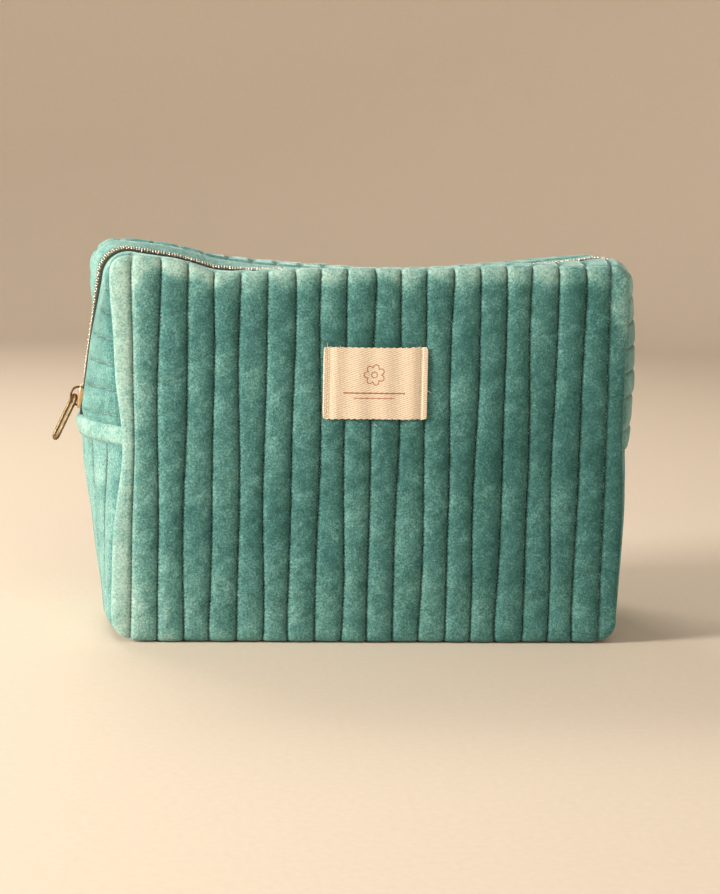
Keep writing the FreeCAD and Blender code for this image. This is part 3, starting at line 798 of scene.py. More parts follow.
def quilted_panel(side):
    """Front (side -1) or back panel: its grid, lining side, normals, painted groove shade and painted light.
    """
    base, distance, channel, share, places, z = panel_grid(side)
    normal = grid_normals(base)
    if (normal[..., 1].mean() > 0) != (side > 0):
        normal = -normal
    rng = np.random.default_rng(11 + side)
    fullness = 1.0 + 0.12 * rng.uniform(-1.0, 1.0, PANEL_LINES + 1)
    grid_share = np.repeat(share[:, None], z.shape[1], axis=1)
    outer = ((channel == 0) | (channel == PANEL_LINES))[:, None]
    width = np.where(outer, HALF_WIDTH - (PANEL_LINES - 1) / 2.0 * CHANNEL, CHANNEL)
    mirrored = np.where((channel == PANEL_LINES)[:, None], 1.0 - grid_share, grid_share)
    # the outermost channels end in the seam, so only their inner side is a stitched valley
    shape = np.where(outer, 0.45 * pillow(0.5 + 0.5 * mirrored), pillow(grid_share))
    ends = 1.0 - np.exp(-distance / 1.0)
    height = (PLUMP + 0.05) * fullness[channel][:, None] * shape * ends
    height *= 1.0 + 0.10 * ripple(base, 34.0, 3 + side) + 0.05 * ripple(base, 9.0, 7 + side)
    if side < 0:
        height *= 1.0 - 0.35 * under_label(base)
    stitched = np.where(outer, np.minimum(1.0, 1.0 - mirrored), np.minimum(grid_share, 1.0 - grid_share))
    dents = pits(np.where(outer, 1.0 - mirrored, grid_share), width, z) * smooth(distance, 1.0, 4.0)
    lift = relaxed_cover(places, z[0], base, height, normal, side)
    lift = LIFT_SHARE * np.clip(lift, -LIFT_LIMIT, LIFT_LIMIT) * ends
    height = height + lift * (1.0 - 0.7 * (under_label(base) if side < 0 else 0.0))
    height -= 0.80 * dents
    grid = base + normal * height[..., None]
    # painted shade along the stitched grooves, the stitch dents and the seams
    painted_crease_shade = painted_groove_shade(stitched * width, 0.85, dents, distance)
    # painted light and shade for the panel's velvet
    nap_and_painted_light = panel_painted_light(base, distance, grid_share, side)
    back = np.linspace(0.0, 1.0, 16)[None, :, None]
    inner = base[:, :1] * (1.0 - back) + base[:, -1:] * back
    inner[..., 1] = side * (SEAM_DEPTH - 0.3)
    return settle(grid), settle(inner), normal, painted_crease_shade, nap_and_painted_light


def under_label(points):
    """1 on the cloth that the label covers, fading to 0 round it."""
    x = smooth(points[..., 0], LABEL_LOW[0] - 4.0, LABEL_LOW[0] + 2.0) * (
        1.0 - smooth(points[..., 0], LABEL_HIGH[0] - 2.0, LABEL_HIGH[0] + 4.0))
    z = smooth(points[..., 2], LABEL_LOW[2] - 4.0, LABEL_LOW[2] + 2.0) * (
        1.0 - smooth(points[..., 2], LABEL_HIGH[2] - 2.0, LABEL_HIGH[2] + 4.0))
    return x * z


# ---- layers that wrap round the bag -------------------------------------------------------
def wrapped(part, fractions, depths, inset):
    """Grid on the bag's upper (part 0) or lower (part 1) band; inset has one value a point."""
    grid = np.empty((len(fractions), len(depths), 3))
    fine = np.linspace(0.0, 1.0, 900)
    for column, y in enumerate(depths):
        line = section(y)[part]
        facing = sampled(fractions, fine, outward(along(line, fine)))
        points = along(line, fractions) - facing * inset[:, column][:, None]
        grid[:, column] = np.stack([points[:, 0], np.full(len(points), y), points[:, 1]], axis=1)
    return grid


def seam_fall(gap):
    """How far a band drops towards the seam, from the gap to it."""
    t = np.clip(gap / 5.5, 0.0, 1.0)
    return SEAM_INSET * (1.0 - np.sqrt(1.0 - (1.0 - t) ** 2))


GUSSET_ROWS = 560           # rows of vertices along the gusset


def gusset_half(side):
    """Front (side -1) or back half of the gusset, quilted along its length."""
    lines = np.linspace(0.0, SEAM_DEPTH, GUSSET_CHANNELS // 2 + 1)
    places, channel, share = channel_nodes(lines)
    run = length(section(0.0)[1])
    top = 2.2 / run             # it ends a little inside the hem
    fractions = np.linspace(top, 1.0 - top, GUSSET_ROWS)
    gap = SEAM_DEPTH - places
    inset = np.repeat((PLUMP + seam_fall(gap))[None], len(fractions), axis=0)
    base = wrapped(1, fractions, side * places, inset)
    normal = grid_normals(base)
    if normal[GUSSET_ROWS // 2, 10, 2] > 0:
        normal = -normal
    width = lines[1]
    outer = (channel == len(lines) - 2)[None]
    shape = np.where(outer, np.maximum(pillow(share * 0.5), pillow(share) * 0.6)[None], pillow(share)[None])
    distance = np.repeat(fractions[:, None] * run, len(places), axis=1)
    height = (PLUMP - 0.1) * shape * (1.0 + 0.12 * ripple(base, 30.0, 31 + side))
    near_hem = np.minimum(fractions - top, 1.0 - top - fractions) * run
    height *= (0.25 + 0.75 * smooth(near_hem, 6.0, 22.0))[:, None] * (1.0 - np.exp(-gap / 1.6))[None]
    dents = pits(share[None], width, distance) * smooth(gap, 1.0, 4.0)[None]
    grid = base + normal * (height - 0.48 * dents)[..., None]
    # painted shade along the stitched grooves, the stitch dents and the seam
    painted_crease_shade = painted_groove_shade(np.minimum(share, 1.0 - share)[None] * width, 0.85, dents, gap[None])
    under = np.linspace(0.0, SEAM_DEPTH, 5)
    inner = wrapped(1, fractions, side * under, np.full((len(fractions), 5), WALL - LINING_GAP))
    rows = [index * len(ACROSS) for index in range(GUSSET_CHANNELS // 2)]
    return settle(grid), settle(inner), normal, painted_crease_shade, rows


STRIP_START = 5.0           # first crosswise row of stitches, from the hem
STRIP_TUCK = 2.5


def strip_half(side):
    """Front (side -1) or back zip strip: quilted across, with a plain facing beside the zipper."""
    run = length(section(0.0)[0])
    count = int(round((run - 6.0) / CHANNEL))
    # both ends are tucked down behind the hems
    lines = np.r_[-STRIP_TUCK, STRIP_START + np.arange(count) * CHANNEL, run + STRIP_TUCK] / run
    lines = lines[(lines < 1.0) | (lines == lines[-1])]
    places, _, share = channel_nodes(lines)
    depths = np.r_[np.linspace(STRIP_EDGE, STRIP_EDGE + FACING, 12),
                   np.linspace(STRIP_EDGE + FACING, SEAM_DEPTH - 6.0, 34)[1:],
                   SEAM_DEPTH - np.array([5.0, 4.0, 3.1, 2.3, 1.6, 1.0, 0.5, 0.15, 0.0])]
    gap = SEAM_DEPTH - depths
    band = depths - STRIP_EDGE
    fold = 1.6 * np.sqrt(np.clip(1.0 - (np.clip(band, 0, 1.8) / 1.8 - 1.0) ** 2, 0.0, 1.0))
    tuck = 2.4 * bell(np.minimum(places - lines[0], lines[-1] - places) * run, 4.5)
    thin = 0.7 * (1.0 - smooth(band, 0.0, FACING))
    inset = (PLUMP + seam_fall(gap) + 1.6 - fold + thin)[None] + tuck[:, None]
    fractions = np.clip(places, 0.0, 1.0)
    below = np.minimum(places, 0.0) * run + np.minimum(1.0 - places, 0.0) * run
    base = wrapped(0, fractions, side * depths, inset)
    base[..., 2] += below[:, None]
    normal = grid_normals(base)
    middle = len(places) // 2
    if normal[middle, 10, 2] < 0:
        normal = -normal
    quilted = smooth(band, FACING - 0.5, FACING + 2.5)[None]
    height = (PLUMP - 0.1) * pillow(share)[:, None] * quilted * (1.0 - np.exp(-gap / 1.6))[None]
    facing = 0.6 * pillow(np.clip(band / FACING, 0.0, 1.0), 4.0)[None] * (1.0 - quilted)
    height = height + facing
    height *= 1.0 + 0.12 * ripple(base, 26.0, 41 + side)
    distance = np.repeat(depths[None], len(places), axis=0)
    dents = pits(share[:, None], CHANNEL, distance) * quilted * smooth(gap, 1.0, 4.0)[None]
    grid = base + normal * (height - 0.48 * dents)[..., None]
    # painted shade along the fold where the plain facing meets the quilting
    fold_shade = 0.35 * bell(band - FACING, 0.7)[None]
    near = np.minimum(share, 1.0 - share)[:, None] * CHANNEL
    painted_crease_shade = painted_groove_shade(near, 0.46 * quilted, dents, gap[None], fold_shade)
    under = np.array([STRIP_EDGE + 0.5, STRIP_EDGE + 8.0, 0.5 * SEAM_DEPTH, SEAM_DEPTH])
    inner = wrapped(0, fractions, side * under, np.full((len(fractions), 4), WALL - LINING_GAP))
    inner[..., 2] += below[:, None]
    rows = [index * len(ACROSS) for index in range(1, len(lines) - 1)]
    first = int(np.searchsorted(band, FACING + 1.0))
    return settle(grid), settle(inner), normal, painted_crease_shade, rows, first


# ---- plain layers ------------------------------------------------------------------------
def panel_lining(side):
    """Flat lining sheet behind a panel, a little rumpled."""
    upper, lower = section(SEAM_DEPTH)
    top = (upper - WALL * outward(upper))[upper[:, 1] > HEM_HEIGHT + 1.0]
    foot = (lower - WALL * outward(lower))[lower[:, 1] < HEM_HEIGHT / 2.0]
    foot = foot[np.argsort(foot[:, 0], kind="stable")]
    reach = HALF_WIDTH - WALL - 0.01
    x = reach * np.sin(np.linspace(-math.pi / 2.0, math.pi / 2.0, 70))
    share = np.linspace(0.0, 1.0, 56)[None]
    low, high = np.interp(x, foot[:, 0], foot[:, 1]), np.interp(x, top[:, 0], top[:, 1])
    z = low[:, None] + (high - low)[:, None] * share
    across = np.repeat(x[:, None], 56, axis=1)
    flat = np.stack([across, np.full_like(z, side * (SEAM_DEPTH - 0.6)), z], axis=2)
    calm = smooth(np.minimum(share, 1.0 - share), 0.0, 0.15) * smooth(reach - np.abs(across), 0.0, 15.0)
    flat[..., 1] -= side * calm * (0.7 + 0.6 * ripple(flat, 40.0, 61 + side))
    inner = flat.copy()
    inner[..., 1] -= side * LINING
    return settle(flat), settle(inner)


def band_lining(part, side, first_depth, last_depth):
    """Both faces of the lining of half a band, a little rumpled."""
    fractions = np.linspace(0.0, 1.0, 260)
    depths = np.linspace(first_depth, last_depth, 24)
    flat = np.zeros((len(fractions), len(depths)))
    calm = smooth(SEAM_DEPTH - depths, 0.0, 8.0)[None]
    calm = calm * smooth(np.minimum(fractions, 1 - fractions), 0, 0.05)[:, None]
    sheets = []
    for extra in (0.0, LINING):
        grid = wrapped(part, fractions, side * depths, flat + WALL + extra)
        rumple = calm * (0.6 + 0.5 * ripple(grid, 36.0, 71 + side + part))
        sheets.append(settle(wrapped(part, fractions, side * depths, rumple + WALL + extra)))
    return sheets


BINDING_STATIONS = 360      # round the panel
BINDING_HALF_HEIGHT = 3.4   # of the folded tape, which stands inward
BINDING_HALF_WIDTH = 0.8
BINDING_MIDDLE = (WALL + 5.4, SEAM_DEPTH - 2.2)


def binding_ring(side):
    """Bias tape folded over the seam allowance, standing inward all round a panel."""
    upper, lower = section(SEAM_DEPTH)
    loop = np.vstack([upper, lower[1:-1]])
    line = along(np.vstack([loop, loop[:1]]), np.linspace(0.0, 1.0, BINDING_STATIONS + 1))[:-1]
    run = unit(np.roll(line, -1, axis=0) - np.roll(line, 1, axis=0))
    facing = np.stack([-run[:, 1], run[:, 0]], axis=1)
    inset, depth = BINDING_MIDDLE
    rings = []
    for angle in full_turn(14):
        across, through = squared(math.cos(angle), 0.5), squared(math.sin(angle), 0.7)
        wave = 0.25 * np.sin(np.arange(len(line)) * 0.35) * (across < 0)
        points = line - facing * (inset - BINDING_HALF_HEIGHT * across + wave)[:, None]
        depths = np.full(len(line), side * (depth + BINDING_HALF_WIDTH * through))
        rings.append(np.stack([points[:, 0], depths, points[:, 1]], axis=1))
    grid = settle(np.stack(rings, axis=1))
    rows, columns = grid.shape[:2]
    faces = grid_faces(rows, columns, wrap=True) + ring_faces(rows, columns)
    made = new_object(name_of(side) + "_bound_seam", grid, faces, BINDING_CLOTH)
    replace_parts(made, name_of(side) + "_seam_binding")
    bend(made)


# ---- hem ---------------------------------------------------------------------------------
# the folded band's section: distance below the gusset's edge, and inset
HEM_OUTSIDE = ((9.5, 1.7), (9.4, 1.0), (8.6, 0.5), (7.0, 0.0), (5.0, -0.35), (3.0, -0.45), (1.2, -0.2),
               (0.2, 0.5), (-0.2, 1.7), (0.3, 3.0), (1.5, 4.3), (3.5, 5.2), (9.0, 5.8), (9.4, 5.4))
HEM_INSIDE = ((9.2, 4.9), (3.4, 4.4), (1.9, 3.4), (1.3, 2.4), (1.3, 1.6), (2.2, 1.0), (5.0, 0.9), (7.5, 1.2),
              (9.0, 1.7))
HEM_STITCHES = ((8.3, 0.35), (8.0, 0.3))
HEM_OUTER_LAYER = 3.0       # points less inset than this lie on its outer layer
HEM_SLOPE = 0.008           # share of the gusset's line that gives the hem's slope


def hem_grid(end, profile, depths):
    """Folded band round the gusset's upper edge; end is -1 at the left and 1 at the right."""
    grid = np.empty((len(depths), len(profile), 3))
    below, drawn = np.array(profile).T
    for row, y in enumerate(depths):
        line = section(y)[1]
        share = np.clip(below, 0.0, None) / length(line)
        points = along(line, 1.0 - share if end < 0 else share)
        near = np.array([0.0, HEM_SLOPE / 2.0, HEM_SLOPE])
        facing = outward(along(line, near if end > 0 else 1.0 - near[::-1]))[1]
        pucker = 0.25 * math.sin(y * 1.1) * bell(below - 7.5, 2.0)
        soft = 0.35 * math.sin(0.21 * y + end) * bell(below - 2.0, 3.0)
        outer = drawn < HEM_OUTER_LAYER
        inset = drawn + seam_fall(SEAM_DEPTH - abs(y)) * outer * 0.9 + pucker + soft * outer
        points = points - facing[None] * inset[:, None]
        height = points[:, 1] - np.minimum(below, 0.0)
        grid[row] = np.stack([points[:, 0], np.full(len(profile), y), height], axis=1)
    return settle(grid)


def hem_half(end, side):
    """Front (side -1) or back half of the left (end -1) or right hem, and its stitches."""
    seam_steps = SEAM_DEPTH - np.array([4.0, 3.0, 2.0, 1.2, 0.6, 0.2, 0.0])
    depths = side * np.r_[np.linspace(0.0, SEAM_DEPTH - 5.0, 60), seam_steps]
    outside = hem_grid(end, HEM_OUTSIDE, depths)
    inside = hem_grid(end, HEM_INSIDE[::-1], depths)
    side_name = "left" if end < 0 else "right"
    name = "hem_" + side_name + "_" + name_of(side)
    made = closed_shell(name, outside, inside, VELVET, flip=end * side < 0)
    count = len(HEM_OUTSIDE) + len(HEM_INSIDE)
    below = np.array([p[0] for p in HEM_OUTSIDE])
    # painted shade along the hem's lower fold, and painted light: the left hem is paler than the right
    painted_crease_shade = np.zeros((len(depths), count))
    painted_crease_shade[:, :len(below)] = (0.75 * bell(below - 9.5, 0.9))[None]
    set_value(made, "painted_crease_shade", painted_crease_shade)
    set_value(made, "nap_and_painted_light", np.full((len(depths), count), 0.55 if end < 0 else 0.25))
    smooth_piece(made, 2)
    if side < 0:
        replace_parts(made, "hem_" + side_name)
    bend(made)
    row = hem_grid(end, HEM_STITCHES, depths)
    normal = np.zeros((len(depths), 3))
    normal[:, 0] = end
    stitch_rows(name + "_stitches", [(row[:-3, 0], normal[:-3])], THREAD, 0.24, -0.05)


def smooth_piece(piece, levels=1):
    """Subdivides the piece's mesh for good."""
    modifier = piece.modifiers.new("subdivision", "SUBSURF")
    modifier.levels = modifier.render_levels = levels
    with bpy.context.temp_override(object=piece, active_object=piece, selected_objects=[piece]):
        bpy.ops.object.modifier_apply(modifier=modifier.name)


# ---- zipper ------------------------------------------------------------------------------
CHAIN_INSET = 1.5           # depth of the chain's middle below the velvet
CHAIN_START = 6.0           # first tooth, along the chain from the hem
TOOTH_PITCH = 2.7           # along one side of the chain
TOOTH_HALF_LENGTH = 0.46    # half length of a tooth along the chain, and its half height is 1
TOOTH_SIDES = 10
# rings along a tooth, from its tip past the middle to the tape: reach, and share of its full size
TOOTH_RINGS = ((-0.75, 0.45), (-0.62, 0.80), (-0.25, 1.0), (0.40, 1.0), (0.75, 0.80), (1.0, 0.62),
               (1.5, 0.70), (2.0, 0.70), (2.2, 0.5))
TAPE_THICKNESS = 0.5


def zipper_tape(side):
    """Woven tape from the teeth to under the strip, with a corded edge."""
    fractions = np.linspace(0.0, 1.0, 420)
    # across the tape: distance from the middle, the cord's swelling, and the drop under the strip
    depths = np.array([1.5, 1.9, 2.4, 2.9, 3.4, 4.4, 6.0, 9.0, 12.3])
    cord = np.array([0.3, -0.15, -0.25, -0.15, 0.1, 0.0, 0.0, 0.0, 0.0])
    sink = np.array([0.0, 0.0, 0.0, 0.1, 0.6, 1.6, 2.0, 2.2, 2.4])
    sheets = []
    for through, swell in ((0.0, 1.0), (TAPE_THICKNESS, -1.0)):
        inset = CHAIN_INSET + 0.1 + sink + cord * swell + through
        inset = np.repeat(inset[None], len(fractions), axis=0)
        sheets.append(settle(wrapped(0, fractions, side * depths, inset)))
    made = closed_shell(name_of(side) + "_zip_tape", sheets[0], sheets[1], TAPE, flip=side < 0)
    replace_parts(made, name_of(side) + "_zipper_tape")
    bend(made)


def chain_line(fractions):
    """Points and outward normals on the chain's middle."""
    line = section(0.0)[0]
    fine = np.linspace(0.0, 1.0, 1400)
    facing = unit(sampled(fractions, fine, outward(along(line, fine))))
    return along(line, fractions) - facing * CHAIN_INSET, facing


def zipper_teeth(side):
    """One side's row of teeth; the two rows mesh half a pitch apart."""
    run = length(section(0.0)[0])
    count = int((run - 2.0 * CHAIN_START) / TOOTH_PITCH)
    offset = 0.0 if side < 0 else TOOTH_PITCH / 2.0
    stations = (CHAIN_START + offset + TOOTH_PITCH * np.arange(count)) / run
    points, facing = chain_line(stations)
    vertices, faces = [], []
    angles = full_turn(TOOTH_SIDES)
    outline = np.stack([squared(np.cos(angles), 0.7), squared(np.sin(angles), 0.7)], axis=1)
    for point, out in zip(points, facing):
        forward = np.array([out[1], 0.0, -out[0]])
        outward_way = np.array([out[0], 0.0, out[1]])
        base = len(vertices)
        for reach, size in TOOTH_RINGS:
            centre = np.array([point[0], side * reach, point[1]])
            for a, u in outline:
                vertices.append(centre + forward * a * TOOTH_HALF_LENGTH * size + outward_way * u * size)
        faces += grid_faces(len(TOOTH_RINGS), TOOTH_SIDES, base, wrap=True, flip=side > 0)
        faces += end_faces(len(TOOTH_RINGS), TOOTH_SIDES, base, flip=side > 0)
    made = new_object(name_of(side) + "_metal_teeth", settle(np.array(vertices)), faces, TOOTH_METAL)
    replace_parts(made, name_of(side) + "_zipper_teeth")
    bend(made)


def rounded_block(name, low, high, place, material):
    """Small block with rounded edges; place turns its local points into the bag's frame."""
    low, high = np.array(low), np.array(high)
    centre, half = (low + high) / 2.0, (high - low) / 2.0
    vertices = []
    for up in np.linspace(-math.pi / 2.0, math.pi / 2.0, 9):
        for turn in full_turn(16):
            ray = np.array([math.cos(up) * math.cos(turn), math.cos(up) * math.sin(turn), math.sin(up)])
            vertices.append(centre + half * squared(ray, 0.35))
    faces = grid_faces(9, 16, wrap=True)
    return new_object(name, place(np.array(vertices)), faces, material)


def on_run(side):
    """Turns points on the zipper's straight run into the bag's frame: X is up the run and Z outward."""
    slope = np.array(JOINTS["slider_travel"]["axis"])
    up = np.array([-side * slope[0], 0.0, slope[2]])
    out = np.array([side * slope[2], 0.0, slope[0]])
    start = np.array([side * (HALF_WIDTH + HEM_BULGE), 0.0, HEM_HEIGHT])

    def place(points):
        return start + points[:, :1] * up + points[:, 1:2] * np.array([0.0, 1.0, 0.0]) + points[:, 2:] * out
    return place


def stops():
    """A stop on each half of the chain below the slider, and one round its far end."""
    for index, side in enumerate((-1.0, 1.0)):
        made = rounded_block("top_stop_" + name_of(side), (0.2, min(side * 0.4, side * 2.6), -3.7),
                             (2.4, max(side * 0.4, side * 2.6), -1.4), on_run(-1), TOOTH_METAL)
        if index == 0:
            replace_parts(made, "zipper_top_stops")
        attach(made, "base")
    made = rounded_block("bottom_stop_clip", (0.3, -2.8, -3.7), (4.6, 2.8, -1.3),
                         lambda points: settle(on_run(1)(points)), TOOTH_METAL)
    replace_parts(made, "zipper_bottom_stop")
    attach(made, "base")


# ---- label -------------------------------------------------------------------------------
LABEL_BASE = 57.15          # depth of the label's face at its stitched ends
LABEL_FOLD = 2.6            # width of the turned-in ends, as seen
LABEL_CORNER = 1.3          # rounding of its corners
LABEL_THICKNESS = 0.65
LEFT_STITCHES = 1.6         # the stitches' distance from the left end
RIGHT_STITCHES = LABEL_FOLD + 0.3


def label_height(x, z):
    """How far the label's face stands before its base plane at a place on it."""
    low, high = LABEL_LOW, LABEL_HIGH
    ridges = 0.5 - 0.5 * np.cos(2.0 * math.pi * (x / CHANNEL))
    inner = smooth(np.minimum(x - low[0], high[0] - x), 1.0, 7.0)
    folds = 0.35 * (1.0 - smooth(x - low[0], LABEL_FOLD - 0.4, LABEL_FOLD + 0.3))
    folds = folds + 0.45 * (1.0 - smooth(high[0] - x, LABEL_FOLD - 0.3, LABEL_FOLD + 0.2))
    sewn = bell(x - low[0] - LEFT_STITCHES, 0.5) + bell(high[0] - x - RIGHT_STITCHES, 0.5)
    waves = 0.16 * np.sin(z / 3.1 + 0.4 * x) * np.exp(-np.minimum(z - low[2], high[2] - z) / 2.5)
    return 0.42 * inner * ridges + 0.35 * inner + folds - 0.28 * sewn + waves


def label_outline(u, v):
    """Place on the label for shares of its width and height, with slightly worn edges."""
    left, right = LABEL_LOW[0], LABEL_HIGH[0]
    wide, tall = right - left, LABEL_HIGH[2] - LABEL_LOW[2]
    x = left + wide * u
    z = LABEL_LOW[2] + tall * v
    rim_x = np.minimum(u, 1.0 - u) * wide
    rim_z = np.minimum(v, 1.0 - v) * tall
    near = np.clip(1.0 - rim_x / LABEL_CORNER, 0.0, 1.0)
    cut = LABEL_CORNER * (1.0 - np.sqrt(1.0 - near ** 2)) * (1.0 - rim_z / tall * 2.0)
    z = z - np.sign(v - 0.5) * cut
    edge = np.exp(-rim_z / 0.8)
    z = z + edge * (0.16 * np.sin(2.1 * x) + 0.12 * np.sin(5.3 * x + 1.0))
    z = z + 0.35 * edge * smooth(x, right - 9.0, right - 6.0)
    # pulled a little narrower half way along
    z = z - 0.5 * np.sin(math.pi * u) * (v - 0.5)
    x = x + np.exp(-rim_x / 0.6) * 0.10 * np.sin(1.9 * z)
    return x, z


def label():
    """Twill label sewn down at both ends, with its edges rounded over."""
    u = np.r_[0.0, 0.004, 0.010, np.linspace(0.02, 0.98, 118), 0.990, 0.996, 1.0]
    v = np.r_[0.0, 0.006, 0.014, np.linspace(0.03, 0.97, 80), 0.986, 0.994, 1.0]
    u, v = np.meshgrid(u, v, indexing="ij")
    x, z = label_outline(u, v)
    rim = np.minimum(np.minimum(x - x.min(), x.max() - x), np.minimum(z - z.min(), z.max() - z))
    soft = 0.28 * (1.0 - np.sqrt(1.0 - np.clip(1.0 - rim / 0.45, 0.0, 1.0) ** 2))
    height = label_height(x, z)
    outer = settle(np.stack([x, -(LABEL_BASE + height - soft), z], axis=2))
    inner = settle(np.stack([x, -(LABEL_BASE + height - LABEL_THICKNESS + soft * 0.5), z], axis=2))
    made = closed_shell("sewn_label", outer, inner, LABEL_CLOTH, flip=True)
    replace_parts(made, "label")
    bend(made)


def on_label(x, z, lift):
    """Points just over the label's face."""
    x, z = np.asarray(x, float), np.asarray(z, float)
    return settle(np.stack([x, -(LABEL_BASE + label_height(x, z) + lift), z], axis=-1))


def label_stitches():
    """A row of stitches down each end of the label."""
    rows = []
    z = np.linspace(LABEL_LOW[2] + 0.6, LABEL_HIGH[2] - 0.6, 60)
    for x in (LABEL_LOW[0] + LEFT_STITCHES, LABEL_HIGH[0] - RIGHT_STITCHES):
        normal = np.zeros((len(z), 3))
        normal[:, 1] = -1.0
        rows.append((on_label(np.full(len(z), x) + 0.08 * np.sin(z), z, 0.0), normal))
    made = stitching("label_stitches", rows, 0.22, LABEL_THREAD, -0.12)
    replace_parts(made, "label_stitching")
    bend(made)


def printed_line(name, x, z, width, closed=False):
    """Thin printed stroke that lies on the label and follows its weave."""
    x, z = np.asarray(x, float), np.asarray(z, float)
    if closed:
        slope_x, slope_z = np.roll(x, -1) - np.roll(x, 1), np.roll(z, -1) - np.roll(z, 1)
    else:
        slope_x, slope_z = np.gradient(x), np.gradient(z)
    size = np.hypot(slope_x, slope_z)
    across = np.stack([-slope_z / size, slope_x / size], axis=1) * width / 2.0
    sides = []
    for share in (-1.0, -0.5, 0.5, 1.0):
        lift = 0.03 if abs(share) == 1.0 else 0.07
        sides.append(on_label(x + across[:, 0] * share, z + across[:, 1] * share, lift))
    grid = np.stack(sides, axis=1)
    if closed:
        grid = np.concatenate([grid, grid[:1]], axis=0)
    under = on_label(np.r_[x, x[:1]] if closed else x, np.r_[z, z[:1]] if closed else z, -0.05)
    made = closed_shell(name, grid, under[:, None], INK)
    bend(made)


DAISY_PETALS = 7
DAISY_CORE = 3.1            # radius between two petals,
DAISY_PETAL = 1.75          # how much further the petals reach,
DAISY_CENTRE = 1.35         # and radius of the ring in the middle
RULES = ((14.5, 8.6, 0.62), (9.5, 11.0, 0.40))      # half length, distance below the daisy, and width


def label_motif():
    """A plain outline daisy over two thin rules."""
    middle_x = (LABEL_LOW[0] + LABEL_HIGH[0]) / 2.0 - 0.6
    middle_z = LABEL_LOW[2] + 0.62 * (LABEL_HIGH[2] - LABEL_LOW[2])
    angle = full_turn(240)
    petals = DAISY_CORE + DAISY_PETAL * np.abs(np.sin(DAISY_PETALS / 2.0 * angle)) ** 0.7
    round_lines = (("printed_flower", angle, petals, 0.42),
                   ("printed_flower_centre", full_turn(48), DAISY_CENTRE, 0.38))
    for name, turn, radius, width in round_lines:
        printed_line(name, middle_x + radius * np.cos(turn), middle_z + radius * np.sin(turn), width, True)
    for index, (reach, drop, width) in enumerate(RULES):
        x = np.linspace(middle_x - reach, middle_x + reach, 90)
        printed_line("printed_rule_%d" % (index + 1), x, np.full(90, middle_z - drop), width)


def loose_threads():
    """Short cut ends of the label's thread."""
    left, right, foot, top = LABEL_LOW[0], LABEL_HIGH[0], LABEL_LOW[2], LABEL_HIGH[2]
    # three points of each curve, in the label's plane
    ends = (
        ((left + 1.5, top - 0.4), (left + 1.7, top + 1.0), (left + 1.3, top + 2.2)),
        ((left + 7.5, top - 0.3), (left + 8.2, top + 0.5), (left + 7.2, top + 0.6)),
        ((right - 0.3, foot + 14.2), (right + 0.9, foot + 13.6), (right + 1.9, foot + 12.9)),
        ((left + 24.3, foot - 1.9), (left + 24.9, foot - 2.6), (left + 25.8, foot - 3.1)),
    )
    share = np.linspace(0.0, 1.0, 9)[:, None]
    radii = np.linspace(0.14, 0.08, len(share))
    for index, points in enumerate(ends):
        flat = np.array(points)
        curve = (1 - share) ** 2 * flat[0] + 2 * share * (1 - share) * flat[1] + share ** 2 * flat[2]
        line = np.stack([curve[:, 0], -(LABEL_BASE + 0.5 + 0.4 * share[:, 0]), curve[:, 1]], axis=1)
        made = tube("loose_thread_%d" % (index + 1), settle(line), radii, LABEL_THREAD, 6)
        bend(made)


# ---- slider and pull ------------------------------------------------------------------------
SLIDER_LOW = 3.2            # its lower and upper end along the straight run, from the hem
SLIDER_HIGH = 15.2
SLIDER_HALF = 3.8           # half width
SLIDER_FACE = 0.4           # outer face of the slider, above the strip's surface
BAIL_REACH = 5.0            # half length of the bail, and its height
BAIL_RISE = 4.2
BAIL_SINK = 0.12            # angle by which its ends go on into the plate
# rings of a plate from its middle to its rim and back inside: share of its size, height, and how
# far the ring joins in the flanges' drop
PLATE_RINGS = ((0.05, 0.45, 0.0), (0.45, 0.42, 0.0), (0.75, 0.30, 0.0), (0.90, 0.12, 0.0), (0.97, -0.10, 0.0),
               (1.0, -0.45, 0.35), (1.0, -0.75, 1.0), (0.97, -0.85, 1.12), (0.86, -0.85, 1.08),
               (0.84, -0.80, 0.5), (0.82, -0.80, 0.0), (0.4, -0.80, 0.0), (0.05, -0.80, 0.0))
PLATE_CORNER = 0.55         # squareness of a plate's outline


def slider_half_width(share):
    """Half width along the slider: narrow where the chain is closed, shouldered at the other end."""
    return SLIDER_HALF * (0.74 + 0.26 * smooth(share, 0.25, 0.8)) * (1.0 - 0.10 * smooth(share, 0.86, 1.0))


def slider_plate(name, face, way, flange):
    """Domed plate with rounded ends and turned-in side flanges; way is 1 for the outer plate."""
    turn = full_turn(64)
    x_share = 0.5 + 0.5 * squared(np.cos(turn), PLATE_CORNER)
    y_share = squared(np.sin(turn), PLATE_CORNER)
    half = slider_half_width(x_share)
    sides = smooth(np.abs(y_share), 0.80, 0.97)
    notch = 1.3 * bell(y_share, 0.28) * (x_share > 0.9)
    points = []
    for scale, height, drop in PLATE_RINGS:
        x = SLIDER_LOW + (SLIDER_HIGH - SLIDER_LOW) * (0.5 + (x_share - 0.5) * scale) - notch * scale
        y = half * y_share * scale
        z = face + way * (height - flange * drop * sides)
        points.append(np.stack([x, y, z], axis=1))
    grid = np.stack(points)
    rows, columns = grid.shape[:2]
    faces = grid_faces(rows, columns, wrap=True, flip=way > 0) + end_faces(rows, columns, flip=way > 0)
    made = new_object(name, on_run(-1)(grid.reshape(-1, 3)), faces, BRASS)
    smooth_piece(made, 1)
    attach(made, "slider")
    return made


